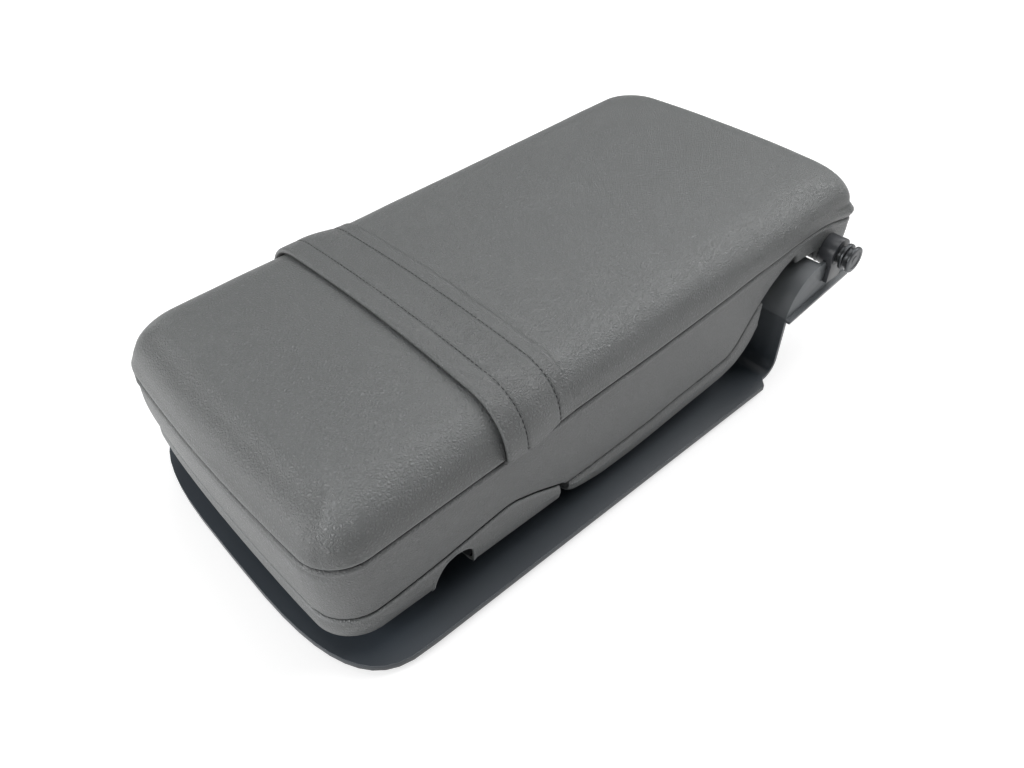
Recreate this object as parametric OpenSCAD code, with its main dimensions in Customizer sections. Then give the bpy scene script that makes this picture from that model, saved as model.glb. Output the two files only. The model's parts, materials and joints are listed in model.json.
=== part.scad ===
// Rear seat armrest, stowed on its back panel.
// Millimetres, +Z up. The free end points to -Y and the pivot axis lies along X.
// Places along the armrest are given as the distance ahead of a base line just behind
// the pivot axis, and heights as the distance above the panel's upper face.

/* [Armrest] */
// Width of the upholstered armrest at its top seam
armrest_w = 220; // [200:1:240]
// Base line to the front end, at the middle of the width
front_reach = 415.5; // [405:0.5:430]
// Base line to the rear end
rear_reach = 34.5; // [30:0.5:40]
// Corner radius of the front end in plan
front_r = 25; // [18:1:45]
// Corner radius of the rear end in plan
rear_r = 15; // [10:1:40]
// Radius of the bowed front edge
front_bow_r = 1350; // [400:10:2000]
// Radius of the bowed rear edge
rear_bow_r = 1000; // [500:10:1500]
// Height of the top seam above the panel, at the base line
seam_h = 97.4; // [94:0.1:104]
// Fall of the top seam per millimetre towards the front
seam_slope = 0.056; // [0.03:0.001:0.07]

/* [Crowned leather top] */
// Height of the rounded edge above the seam
crown_h = 30; // [20:1:36]
// Inset of the rounded edge
crown_in = 32; // [24:1:44]
// Extra rise of the middle of the crown
crown_mid = 2.5; // [0:0.5:6]
// Thickness of the leather with its backing
cover_t = 3; // [2:0.5:4]
// Joint of the two top covers, behind the free edge of the pull band
cover_split_in = 22; // [15:1:29]
// Gap between the two top covers
cover_gap = 0.6; // [0.4:0.1:1.5]

/* [Pull band] */
// Free edge of the band, behind the front end of the armrest
band_in = 110.5; // [104:0.5:118]
// Width of the band from front to rear
band_w = 49; // [40:1:56]
// Thickness of the band at its free edge
band_t = 4.4; // [3:0.1:6]
// Thickness of the band at its sewn edge
band_rear_t = 2.6; // [1.5:0.1:3]

/* [Back panel] */
// How far the panel stands out beyond each side of the armrest
panel_side = 13.5; // [10:0.5:20]
// How far the panel stands out in front of the armrest
panel_lip = 3.5; // [0.5:0.5:6]
// Thickness of the panel
panel_t = 2.6; // [2:0.1:3.5]
// Depth of the stiffening rim round the edge, with the panel
rim_h = 4.2; // [3.6:0.1:6]
// Width of the stiffening rim
rim_w = 2; // [1.5:0.1:3]
// Reach of the rounded front corners along the panel
corner_reach = 54; // [40:1:70]
// Squareness of the rounded front corners
corner_power = 3.3; // [2:0.1:5]
// Rear end of the wide part, ahead of the base line
shoulder = 70; // [64:1:80]
// Space between the side of the armrest and the outer face of an arm
arm_gap = 8; // [7:0.5:9]
// Front face of the rear wall, ahead of the base line
wall_ahead = 53; // [51:1:57]
// Radius of the bend at the foot of the wall
foot_bend_r = 10; // [8:0.5:14]
// Radius of the curve at the top of the wall
wall_r = 32; // [30:0.5:34]
// Height of the top of the wall above the panel
wall_h = 76; // [75:0.5:77]

/* [Arms] */
// Thickness of an arm's side cheek
cheek_t = 3; // [2.5:0.1:3.8]
// Width of the lip along the lower edge of the cheek
lip_w = 3.5; // [2:0.5:5]
// Thickness of that lip
lip_t = 2; // [1.5:0.1:3]
// Rear end of the cheek, behind the base line
cheek_rear = 17; // [15:0.5:20]
// Height of the cheek's lower rear corner
cheek_h = 54; // [50:1:58]

/* [Pivot] */
// Height of the pivot axis above the panel
pivot_h = 80; // [78:0.5:84]
// Pivot axis ahead of the base line
pivot_in = 5; // [2:0.5:6]
// Diameter of the hinge shaft
shaft_d = 12; // [10:0.5:13]
// Radial running clearance of the hinge tube on the shaft
run_gap = 0.08; // [0.03:0.01:0.1]
// Wall of the hinge tube
tube_wall = 2.4; // [1.5:0.1:3]
// Outer diameter of the bush and of the armrest's barrel
bush_d = 22; // [21:0.5:25]
// Length of the bush
bush_l = 11; // [10:0.5:14]
// Gap between the armrest's side and the bush
bush_gap = 0.5; // [0.3:0.1:1.5]
// Diameter of the stud's collar and end disc
stud_d = 18.5; // [17:0.5:21]
// Diameter of the stud's journal
journal_d = 14; // [12:0.5:15]
// Length of the journal
journal_l = 3; // [3:0.5:8]
// Thickness of the collar and of the end disc
disc_t = 2.4; // [2:0.1:4]
// Length of the neck between the bush and the collar
neck_l = 3.2; // [2:0.1:6]
// Diameter of the thread that holds the stud
thread_d = 6; // [5:0.5:7]

/* [Lower side] */
// Lower face of the lid above the panel
lid_h = 15; // [14:0.5:18]
// Length of the lid, from the front end of the armrest to the lid's rear edge
lid_l = 153; // [147:0.5:157]
// Rear edge of the lid to its hinge axis
lid_hinge_in = 4; // [3.6:0.1:4.4]
// Lid hinge axis above the panel
lid_hinge_h = 18.5; // [18:0.1:19.5]
// Diameter of the lid hinge's knuckles
knuckle_d = 6; // [5.4:0.1:6.4]
// Diameter of the lid hinge's pin
lid_pin_d = 3; // [2.5:0.1:3.2]
// Lid hinge axis to the front face of the elbow pad
pad_in = 4; // [3.6:0.1:5]
// Lowest point of the elbow pad above the panel
pad_h = 7; // [6:0.5:8]
// Gap between the lid and the side band
lid_gap = 0.8; // [0.5:0.1:1.5]
// Length of the finger notch
notch_l = 28; // [25:1:34]
// Middle of the finger notch, behind the front end of the armrest
notch_in = 73.5; // [70:0.5:80]
// Height of the finger notch above the lid's lower face
notch_h = 19.5; // [14:0.5:20]

/* [Cup holder] */
// Bore of a cup well
well_d = 72; // [66:1:76]
// Distance between the two wells
well_pitch = 84; // [82:1:90]
// Middle of the wells, behind the front end of the armrest
well_in = 76; // [73:1:81]
// Lower face of the cup holder above the panel
cup_h = 24; // [23.5:0.5:26]
// Wall of the cup holder
cup_wall = 2; // [1.5:0.1:2.4]
// Rear edge of the lid to the rear end of the cup holder
cup_rear_in = 9.5; // [8.5:0.5:13.5]

/* [Frame] */
// Diameter of the bent tube
loop_d = 14; // [10:0.5:16]
// Side of the armrest to the middle of the loop's leg
loop_side = 26; // [23:1:35]
// Front end of the loop, behind the front end of the armrest
loop_in = 46; // [43:1:87]
// Bend radius of the loop, at the tube's middle
loop_r = 40; // [30:1:50]
// Thickness of a bracket
bracket_t = 4; // [3:0.5:6]

/* [Shells] */
// Wall of the plastic carrier
carrier_t = 2.5; // [2:0.1:3]
// Clearance between pieces that don't touch
clear = 0.3; // [0.2:0.05:0.4]

/* [Hidden] */

leather = [0.48, 0.49, 0.49];
leather_side = [0.42, 0.43, 0.43];
panel_dark = [0.15, 0.17, 0.20];
steel = [0.60, 0.62, 0.63];
zinc = [0.72, 0.73, 0.72];
black = [0.09, 0.09, 0.10];

clip_drop = 6.4;
clip_r = 5;
clip_inset_x = 13;
clip_front = front_reach - 48;
clip_rear = shoulder + 20;
buffer_r = 9;
buffer_x = armrest_w / 2 - 48;
buffer_ahead = front_reach - 25;

panel_w = armrest_w + 2 * panel_side;
arm_span = armrest_w + 2 * arm_gap;
loop_w = armrest_w - 2 * loop_side;
loop_front = front_reach - loop_in;
band_front = front_reach - band_in;
cover_split = band_front - cover_split_in;
lid_rear = front_reach - lid_l;
lid_hinge = lid_rear - lid_hinge_in;
pad_front = lid_hinge - pad_in;
cup_rear = lid_rear + cup_rear_in;
well_ahead = front_reach - well_in;
notch_ahead = front_reach - notch_in;

total_l = front_reach + panel_lip + rear_reach;
base_y = total_l / 2 - rear_reach;
pivot_y = base_y - pivot_in;
front_y = base_y - front_reach;
rear_y = base_y + rear_reach;
panel_z = clip_drop + panel_t;
pivot_z = panel_z + pivot_h;
half_w = armrest_w / 2;
big = 1000;
eps = 0.01;

function y_at(ahead) = base_y - ahead;
function z_at(h) = panel_z + h;
function seam_z(y) = z_at(seam_h) - seam_slope * (base_y - y);

// Profile points are given as [distance ahead of the base line, height above the panel]
function side(points) = [for (p = points) [y_at(p[0]), z_at(p[1])]];

function arc(c, r, a0, a1, n) =
    [for (i = [0 : n]) let (a = a0 + (a1 - a0) * i / n) c + r * [cos(a), sin(a)]];

function arc_inside(c, r, a0, a1, n) =
    [for (i = [1 : n - 1]) let (a = a0 + (a1 - a0) * i / n) c + r * [cos(a), sin(a)]];

// Plan outline of the armrest, drawn in by d: two bowed ends joined by round corners
corner_steps = 8;
bow_steps = 6;
least_corner_r = 6;
corner_share = 0.8;
front_tighter = 0.1;
rear_wider = 0.9;

function corner_r(r, hw) = min(max(r, least_corner_r), corner_share * hw);

function outline(d) = let (
    hw = half_w - d,
    rf = corner_r(front_r - front_tighter * d, hw),
    rr = corner_r(rear_r + rear_wider * d, hw),
    bf = front_bow_r - d,
    br = rear_bow_r - d,
    mf = [0, front_y + d + bf],
    mr = [0, rear_y - d - br],
    cf = [hw - rf, mf[1] - sqrt(pow(bf - rf, 2) - pow(hw - rf, 2))],
    cr = [hw - rr, mr[1] + sqrt(pow(br - rr, 2) - pow(hw - rr, 2))],
    tf = atan2(cf[1] - mf[1], cf[0]),
    tr = atan2(cr[1] - mr[1], cr[0]))
    concat(
        arc(cf, rf, tf, 0, corner_steps),
        arc(cr, rr, 0, tr, corner_steps),
        arc_inside(mr, br, tr, 180 - tr, bow_steps),
        arc([-cr[0], cr[1]], rr, 180 - tr, 180, corner_steps),
        arc([-cf[0], cf[1]], rf, 180, 180 - tf, corner_steps),
        arc_inside(mf, bf, 180 - tf, 360 + tf, bow_steps));

// A solid through rings of equal length, from the lowest ring up
module loft(rings) {
    n = len(rings[0]);
    m = len(rings);
    polyhedron(
        points = [for (r = rings) each r],
        faces = concat(
            [[for (i = [0 : n - 1]) i]],
            [for (k = [0 : m - 2], i = [0 : n - 1]) let (j = (i + 1) % n)
                [k * n + i, (k + 1) * n + i, (k + 1) * n + j]],
            [for (k = [0 : m - 2], i = [0 : n - 1]) let (j = (i + 1) % n)
                [k * n + i, (k + 1) * n + j, k * n + j]],
            [[for (i = [n - 1 : -1 : 0]) (m - 1) * n + i]]));
}

// A strip of even thickness: at each station an outer line and an inner line of equal length
module ribbon(outers, inners) {
    n = len(outers[0]);
    m = len(outers);
    half = n * m;
    quads = concat(
        [for (k = [0 : m - 2], i = [0 : n - 2])
            [k * n + i, k * n + i + 1, (k + 1) * n + i + 1, (k + 1) * n + i]],
        [for (k = [0 : m - 2], i = [0 : n - 2])
            [half + k * n + i, half + (k + 1) * n + i, half + (k + 1) * n + i + 1, half + k * n + i + 1]],
        [for (i = [0 : n - 2]) [i, half + i, half + i + 1, i + 1]],
        [for (i = [0 : n - 2]) let (a = (m - 1) * n + i) [a, a + 1, half + a + 1, half + a]],
        [for (k = [0 : m - 2]) [k * n, (k + 1) * n, half + (k + 1) * n, half + k * n]],
        [for (k = [0 : m - 2]) let (a = k * n + n - 1) [a, half + a, half + a + n, a + n]]);
    polyhedron(
        points = concat([for (r = outers) each r], [for (r = inners) each r]),
        faces = [for (q = quads) each [[q[0], q[1], q[2]], [q[0], q[2], q[3]]]]);
}

// A profile in side view, run across the width from x0 to x1
module across(x0, x1) {
    translate([x0, 0, 0]) rotate([90, 0, 90]) linear_extrude(x1 - x0) children();
}

module prism(d, z0, z1) {
    translate([0, 0, z0]) linear_extrude(z1 - z0) polygon(outline(d));
}

module on_right(s) {
    if (s > 0) children();
    else mirror([1, 0, 0]) children();
}

// Everything from one distance ahead of the base line to another
module slice(from, to) {
    translate([-big / 2, y_at(max(from, to)), -big / 2])
        cube([big, abs(from - to), big]);
}

// Crown of the leather top: a quarter ellipse, then a flat rise to the middle
round_steps = 6;
mid_steps = 3;
mid_inset = 66;

function crown_row(i, t) = i <= round_steps
    ? let (a = 90 * i / round_steps,
           nx = cos(a) / crown_in,
           nz = sin(a) / crown_h,
           k = t / norm([nx, nz]))
      [crown_in * (1 - cos(a)) - k * nx, crown_h * sin(a) + k * nz]
    : let (s = (i - round_steps) / mid_steps)
      [crown_in + s * mid_inset, crown_h + crown_mid * (1 - pow(1 - s, 2)) + t];

function cover_ring(row) = [for (p = outline(row[0])) [p[0], p[1], seam_z(p[1]) + row[1]]];

// The crowned body, grown by t and carried down below the seam
module crowned(t, down) {
    loft(concat(
        down > 0 ? [cover_ring([-t, -down])] : [],
        [for (i = [0 : round_steps + mid_steps]) cover_ring(crown_row(i, t))]));
}

// Some profile points keep their distance from the front end, given as [distance behind it,
// height], and some share out the length between the foot of the armrest and the lid hinge
foot_ahead = 106;
past_front = 13;

function from_front(points) = [for (p = points) [front_reach - p[0], p[1]]];
function shared(points, front) = [for (p = points) [foot_ahead + (front - foot_ahead) * p[0], p[1]]];

// Lower line of the leather boxing, above the lid and above the elbow pad
box_front = concat(
    from_front([[-past_front, 34], [35.5, 34.3], [66.5, 37.2], [94.5, 41.2], [106.5, 43],
                [112.5, 43.5], [118.5, 43.2], [134.5, 38], [154.5, 29.7]]),
    [[lid_hinge, 28.6]]);
box_pad = concat(
    shared([[1, 27], [0.85, 27], [0.7, 28], [0.52, 29], [0.35, 31.6], [0.125, 34.4]], lid_hinge),
    [[foot_ahead, 36.5], [98, 42], [90, 53], [80, 66], [70, 76], [58, 84.5], [45, 90.5],
     [43, 88], [43, 84], [41, 82.5]]);

// The barrel round the pivot and the rounded rear end below the seam
barrel_steps = 10;
rear_floor = 69;
rear_round = 10;

function barrel(r, from, to) =
    [for (p = arc([-pivot_in, pivot_h], r, from, to, barrel_steps)) [-p[0], p[1]]];

// In side view, from the front of the barrel, under it and out to the rear end
function tail(d) = concat(
    barrel(bush_d / 2 - d, 170, 330),
    [for (p = arc([rear_reach - d - rear_round, rear_floor + d + rear_round],
                  rear_round, -90, 0, 4)) [-p[0], p[1]]]);

function side_lower() = concat(box_front, box_pad, tail(0));

// Top edge of the boxing follows the seam
module below_seam(gap) {
    polygon(concat(
        side([[big, -big], [-big, -big]]),
        [[y_at(-big), seam_z(y_at(-big)) - gap], [y_at(big), seam_z(y_at(big)) - gap]]));
}

over_all = 140;

module side_view_body() {
    intersection() {
        polygon(concat(side(side_lower()),
            side([[-rear_reach, over_all], [front_reach + past_front, over_all]])));
        below_seam(0);
    }
}

module side_band() {
    color(leather_side) difference() {
        intersection() {
            difference() {
                prism(0, 0, z_at(over_all));
                prism(cover_t, -1, z_at(over_all + 1));
            }
            across(-half_w - 5, half_w + 5) side_view_body();
        }
        translate([-half_w - 5, pivot_y, pivot_z]) rotate([0, 90, 0])
            cylinder(r = bush_d / 2 - 1, h = armrest_w + 10, $fn = 48);
    }
}

// The cover's skin: down its inner face from the top, and back up its outer face
module crown_skin(t) {
    last = round_steps + mid_steps;
    loft(concat(
        [for (i = [last : -1 : 0]) cover_ring(crown_row(i, -t))],
        [for (i = [0 : last]) cover_ring(crown_row(i, 0))]));
}

module top_cover(from, to) {
    color(leather) intersection() {
        crown_skin(cover_t);
        slice(from, to);
    }
}

module top_cover_front() { top_cover(cover_split + cover_gap / 2, front_reach + 5); }
module top_cover_rear() { top_cover(-rear_reach - 5, cover_split - cover_gap / 2); }

// The band follows the crown from seam to seam and thins towards its sewn edge
function band_line(y, t) = let (
    rows = [for (i = [0 : round_steps + mid_steps]) crown_row(i, t)],
    n = len(rows))
    concat(
        [for (r = rows) [half_w - r[0], y, seam_z(y) + r[1]]],
        [for (i = [n - 1 : -1 : 0]) [rows[i][0] - half_w, y, seam_z(y) + rows[i][1]]]);

band_edge = 1.6;
band_stations = [
    [0, band_t - band_edge], [band_edge, band_t], [16, band_t],
    [band_w - band_edge, band_rear_t], [band_w, band_rear_t - band_edge / 2]];

module pull_band() {
    color(leather) ribbon(
        [for (b = band_stations) band_line(y_at(band_front - b[0]), b[1])],
        [for (b = band_stations) band_line(y_at(band_front - b[0]), clear)]);
}

// Foam fills the crown above the carrier's deck and takes the loop in a channel
deck_drop = 2;

module foam_core() {
    color([0.80, 0.76, 0.62]) difference() {
        crowned(-cover_t - clear, deck_drop - clear);
        loop_path(loop_d / 2 + clear);
        for (s = [1, -1]) on_right(s)
            translate([loop_w / 2 - bracket_t / 2 - clear, y_at(bracket_front + 1), z_at(pivot_h)])
                cube([bracket_t + 2 * clear, bracket_front + 2, seam_h + loop_rise - pivot_h]);
    }
}

// Bent tube of the frame, lying on the carrier's deck
loop_rise = loop_d / 2 - deck_drop + clear;

module loop_path(r) {
    tilt = atan(seam_slope);
    x = loop_w / 2;
    yf = front_reach - loop_front;
    leg = loop_front - loop_r - 30;
    translate([0, y_at(loop_front), seam_z(y_at(loop_front)) + loop_rise])
        rotate([tilt, 0, 0]) {
            for (s = [1, -1]) {
                translate([s * x, loop_r, 0]) rotate([-90, 0, 0])
                    cylinder(r = r, h = leg, $fn = 32);
                translate([s * (x - loop_r), loop_r, 0]) rotate([0, 0, s > 0 ? -90 : 180])
                    rotate_extrude(angle = 90, $fn = 64) translate([loop_r, 0])
                        circle(r = r, $fn = 32);
            }
            translate([-x + loop_r, 0, 0]) rotate([0, 90, 0])
                cylinder(r = r, h = loop_w - 2 * loop_r, $fn = 32);
        }
}

module frame_loop() { color(steel) loop_path(loop_d / 2); }

// Bracket plate, welded to the hinge tube's upper side and under the loop's leg
bracket_front = 36;

module frame_bracket(s) {
    under_leg = seam_h + loop_rise - seam_slope * bracket_front - loop_d / 2 + 1;
    color(steel) on_right(s) difference() {
        across(loop_w / 2 - bracket_t / 2, loop_w / 2 + bracket_t / 2) polygon(side([
            [pivot_in + tube_r, pivot_h + 2.2], [pivot_in + 16, pivot_h + 7],
            [bracket_front, pivot_h + 8.4], [bracket_front, under_leg],
            [bracket_front - 6.5, under_leg], [pivot_in, pivot_h + tube_r + 0.5],
            [pivot_in, pivot_h]]));
        loop_path(loop_d / 2);
        turned(tube_r, 0, half_w);
    }
}

// Tube along the pivot axis, on both sides of the middle
module turned(r, x0, x1) {
    translate([x0, pivot_y, pivot_z]) rotate([0, 90, 0]) cylinder(r = r, h = x1 - x0, $fn = 64);
}

washer_t = 2;
tube_r = shaft_d / 2 + run_gap + tube_wall;
bush_x = half_w + bush_gap;
shaft_x = bush_x + bush_l;
tube_x = bush_x - washer_t - 2 * clear;

module hinge_tube() {
    r = shaft_d / 2 + run_gap;
    color(steel) difference() {
        turned(tube_r, -tube_x, tube_x);
        turned(r, -tube_x - 1, tube_x + 1);
    }
}

module hinge_shaft() {
    color(zinc) difference() {
        turned(shaft_d / 2, -shaft_x, shaft_x);
        for (s = [1, -1]) on_right(s) turned(thread_d / 2, shaft_x - 14, shaft_x + 1);
    }
}

module thrust_washer(s) {
    color(black) on_right(s) difference() {
        turned(bush_d / 2 - 1.5, tube_x + clear, bush_x - clear);
        turned(shaft_d / 2 + run_gap, tube_x - 1, bush_x + 1);
    }
}

// Bush with the foot that hooks outside the arm's cheek
module pivot_bush(s) {
    color(black) on_right(s) difference() {
        union() {
            turned(bush_d / 2, bush_x, bush_x + bush_l);
            translate([arm_span / 2 + clear, pivot_y - 9, pivot_z - 20])
                cube([bush_x + bush_l - arm_span / 2 - clear, 16, 14]);
        }
        turned(shaft_d / 2 + run_gap / 2, bush_x - 1, bush_x + bush_l + 1);
    }
}

module pivot_stud(s) {
    x0 = shaft_x;
    x1 = x0 + neck_l;
    x2 = x1 + disc_t;
    x3 = x2 + journal_l;
    color(zinc) on_right(s) union() {
        turned(thread_d / 2 - run_gap / 2, x0 - 12, x0 + 1);
        turned(shaft_d / 2, x0, x1);
        turned(stud_d / 2, x1, x2);
        turned(journal_d / 2, x2, x3);
        turned(stud_d / 2, x3, x3 + disc_t);
    }
}

// Plan of the panel: a bowed front with rounded corners and a shoulder at the rear
panel_steps = 12;

function panel_front(d) = let (hw = panel_w / 2 - d, y0 = base_y - front_reach - panel_lip + d)
    [for (i = [-panel_steps : panel_steps]) let (
        a = 90 * i / panel_steps,
        s = pow(abs(sin(a)), 2 / corner_power) * sign(i),
        c = pow(cos(a), 2 / corner_power))
        [hw * s, y0 + corner_reach * (1 - c)]];

module panel_plan(d) {
    polygon(concat(panel_front(d), [
        [panel_w / 2 - d, y_at(shoulder) - d],
        [arm_span / 2 - d, y_at(shoulder) - d + (panel_w - arm_span) / 2],
        [arm_span / 2 - d, y_at(wall_ahead + foot_bend_r)],
        [-arm_span / 2 + d, y_at(wall_ahead + foot_bend_r)],
        [-arm_span / 2 + d, y_at(shoulder) - d + (panel_w - arm_span) / 2],
        [-panel_w / 2 + d, y_at(shoulder) - d]]));
}

// Section of the rear wall: a bend, a riser, and a curve back over the arms
wall_spring = wall_h - wall_r;
wall_end = 19.5;
wall_steps = 18;

function wall_line(d) = concat(
    side([[wall_ahead + foot_bend_r, d]]),
    [for (p = arc([foot_bend_r, foot_bend_r], foot_bend_r - d, -90, 0, 6))
        [y_at(wall_ahead + 2 * foot_bend_r - p[0]), z_at(p[1])]],
    [for (p = arc([-wall_ahead + wall_r, wall_spring], wall_r + d, 180, 90, wall_steps))
        [base_y + p[0], z_at(p[1])]],
    side([[wall_end, wall_h + d]]));

module wall_section() {
    front = wall_line(0);
    back = wall_line(-panel_t);
    polygon(concat(front, [for (i = [len(back) - 1 : -1 : 0]) back[i]]));
}

// Cheek of an arm: the lens between the wall's curve and a straight lower edge
module cheek_section() {
    difference() {
        union() {
            polygon(concat(
                [for (p = arc([-wall_ahead + wall_r, wall_spring], wall_r, 180, 90, wall_steps))
                    [base_y + p[0], z_at(p[1])]],
                side([[6, wall_h], [-cheek_rear, cheek_h + 18], [-cheek_rear, cheek_h],
                      [wall_ahead, wall_spring]])));
        }
        translate([pivot_y, pivot_z]) circle(r = bush_d / 2 + clear / 2, $fn = 64);
    }
}

module arm(s) {
    on_right(s) {
        across(arm_span / 2 - cheek_t, arm_span / 2) cheek_section();
        across(arm_span / 2 - 1, arm_span / 2 + lip_w) polygon(side([
            [wall_ahead, wall_spring], [-cheek_rear, cheek_h],
            [-cheek_rear, cheek_h + lip_t], [wall_ahead, wall_spring + lip_t]]));
    }
}

module back_panel() {
    color(panel_dark) union() {
        translate([0, 0, panel_z - panel_t]) linear_extrude(panel_t) panel_plan(0);
        translate([0, 0, panel_z - rim_h]) linear_extrude(rim_h) difference() {
            panel_plan(0);
            panel_plan(rim_w);
        }
        across(-arm_span / 2, arm_span / 2) wall_section();
        for (s = [1, -1]) arm(s);
    }
}

module at_clips() {
    for (s = [1, -1], a = [clip_front, clip_rear])
        translate([s * (panel_w / 2 - clip_inset_x), y_at(a), 0]) children();
}

module panel_clips() {
    color(black) at_clips() union() {
        cylinder(r = clip_r, h = clip_drop, $fn = 32);
        translate([0, 0, clip_drop - 1.6]) cylinder(r = clip_r + 2.5, h = 1.6, $fn = 32);
    }
}

module rubber_buffers() {
    h = lid_h - clear;
    color(black) for (s = [1, -1]) translate([s * buffer_x, y_at(buffer_ahead), panel_z]) union() {
        cylinder(r = buffer_r, h = h - 3, $fn = 32);
        translate([0, 0, h - 3]) cylinder(r1 = buffer_r, r2 = buffer_r - 2.5, h = 3, $fn = 32);
    }
}

// Carrier: walls inside the leather boxing, a deck under the foam, a floor over the pad
carrier_d = cover_t + clear;
carrier_lift = 1;
deck_rear = 50;

// Underside of the carrier over the elbow pad, from the lid hinge back to the barrel
carrier_floor = concat([[pad_front - 0.5, 24]],
    [[foot_ahead + 2, 27], [96, 30], [84, 46], [74, 66], [60, 79], [45, 84], [30, 84], [20, 83]]);

// An open line moved to its left by t, with mitred corners
function unit(v) = v / norm(v);
function left_of(v) = [-v[1], v[0]];
function shifted(line, t) = let (n = len(line) - 1)
    [for (i = [0 : n]) let (
        a = left_of(unit(line[max(i, 1)] - line[max(i, 1) - 1])),
        b = left_of(unit(line[min(i, n - 1) + 1] - line[min(i, n - 1)])))
        line[i] + (a + b) * t / (1 + a * b)];

module carrier_outer() {
    intersection() {
        prism(carrier_d, 0, z_at(over_all));
        across(-half_w, half_w) intersection() {
            polygon(concat(
                side([for (p = box_front) p + [0, carrier_lift]]),
                side(carrier_floor),
                side(tail(barrel_gap)),
                side([[-rear_reach, over_all], [front_reach + past_front, over_all]])));
            below_seam(deck_drop);
        }
    }
}

module carrier_inside() {
    t = carrier_t;
    prism_d = carrier_d + t;
    floor_in = shifted([for (i = [0 : 6]) carrier_floor[i]], -t);
    intersection() {
        prism(prism_d, 0, z_at(over_all));
        across(-half_w, half_w) union() {
            // Bay of the cup holder, open below
            intersection() {
                polygon(side([[front_reach + past_front, 0], [lid_rear, 0],
                              [lid_rear, over_all], [front_reach + past_front, over_all]]));
                below_seam(deck_drop + t);
            }
            // Closed box over the elbow pad
            intersection() {
                polygon(side(concat(
                    [[lid_rear - t, floor_in[0][1] + 6]],
                    floor_in,
                    [[0, over_all], [lid_rear - t, over_all]])));
                below_seam(deck_drop + t);
                translate([y_at(big), 0]) square([big - deck_rear - t, over_all]);
            }
            // Open trough round the hinge tube
            polygon(concat(
                side([[deck_rear, trough_h], [30, trough_h], [20, trough_h - 1.4]]),
                side(tail(barrel_gap + t)),
                side([[-rear_reach + carrier_d + t, over_all], [deck_rear, over_all]])));
        }
    }
}

barrel_gap = 0.6;
trough_h = 87.4;

// Window in the wall between the cup holder's bay and the box over the elbow pad
window_w = 120;
window_h = 40;
window_top = 66;

knuckle_n = 7;
knuckle_web = 1.6;
knuckle_span = armrest_w - 30;
knuckle_l = knuckle_span / knuckle_n;
knuckle_arm = 2.4;

// Knuckles along the lid hinge: even ones on the carrier, odd ones on the lid
module knuckles(first, arm_from, arm_to) {
    for (k = [first : 2 : knuckle_n - 1]) {
        x0 = -knuckle_span / 2 + k * knuckle_l + clear;
        translate([x0, y_at(lid_hinge), z_at(lid_hinge_h)]) rotate([0, 90, 0])
            cylinder(d = knuckle_d, h = knuckle_l - 2 * clear, $fn = 32);
        across(x0, x0 + knuckle_l - 2 * clear) side_rect(arm_from, arm_to);
    }
}

module side_rect(from, to) {
    polygon(side([[from[0], from[1]], [to[0], from[1]], [to[0], to[1]], [from[0], to[1]]]));
}

module lid_axis(r) {
    translate([-knuckle_span / 2 - 2, y_at(lid_hinge), z_at(lid_hinge_h)]) rotate([0, 90, 0])
        cylinder(r = r, h = knuckle_span + 4, $fn = 32);
}

module carrier() {
    color(black) difference() {
        union() {
            difference() {
                carrier_outer();
                carrier_inside();
                translate([-window_w / 2, y_at(lid_hinge + 10), z_at(window_h)])
                    cube([window_w, 20, window_top - window_h]);
            }
            knuckles(0, [lid_hinge + knuckle_web, lid_hinge_h],
                [lid_hinge - knuckle_web, carrier_floor[0][1] + 8]);
        }
        lid_axis(lid_pin_d / 2);
        turned(tube_r, -half_w, half_w);
        screw_shanks(screw_r);
    }
}

// The cup holder fills the bay up to the underside of the carrier's deck
deck_gap = deck_drop + carrier_t + clear;

function deck_h(ahead) = seam_h - seam_slope * ahead - deck_gap;

well_top = deck_h(well_ahead + well_d / 2 + cup_wall);

module cup_box(d, h) {
    intersection() {
        prism(d, z_at(h), z_at(seam_h));
        slice(cup_rear + d - cup_d, front_reach);
        across(-half_w, half_w) below_seam(deck_gap);
    }
}

lid_cover_t = 2.2;
lid_shell_t = 2.4;
lid_wall_d = lid_cover_t + clear + lid_shell_t;

cup_d = lid_wall_d + 1.5;
boss_r = 6.5;
screw_r = 2;
screw_head_r = 4;
screw_head_h = 2.2;
screw_sink = 3;
side_screw_x = half_w - 18;
screws = concat(
    [for (s = [-1, 1]) [0, well_ahead + s * (well_d / 2 + 4)]],
    [for (s = [-1, 1], x = [side_screw_x, -side_screw_x]) [x, well_ahead + s * well_d / 2]]);

module cup_holder() {
    color(black) difference() {
        union() {
            difference() {
                cup_box(cup_d, cup_h);
                translate([0, 0, 1]) cup_box(cup_d + cup_wall, cup_h + cup_wall - 1);
            }
            for (s = [1, -1]) translate([s * well_pitch / 2, y_at(well_ahead), z_at(cup_h)])
                cylinder(d = well_d + 2 * cup_wall, h = well_top - cup_h, $fn = 64);
            for (p = screws) translate([p[0], y_at(p[1]), z_at(cup_h)])
                cylinder(r = boss_r, h = deck_h(p[1] + boss_r) - cup_h, $fn = 32);
        }
        for (s = [1, -1]) translate([s * well_pitch / 2, y_at(well_ahead), z_at(cup_h) - 1])
            cylinder(d = well_d, h = well_top - cup_h - cup_wall + 1, $fn = 64);
        for (p = screws) translate([p[0], y_at(p[1]), z_at(cup_h) - 1])
            cylinder(r = screw_head_r + clear, h = screw_sink + 1, $fn = 32);
        screw_shanks(screw_r + clear / 2);
    }
}

// Screws from inside the bay, through the bosses into the carrier's deck
module screw_shanks(r) {
    for (p = screws) translate([p[0], y_at(p[1]), z_at(cup_h) + screw_sink - eps])
        cylinder(r = r, h = deck_h(p[1]) + clear + carrier_t - cup_h - screw_sink, $fn = 24);
}

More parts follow.
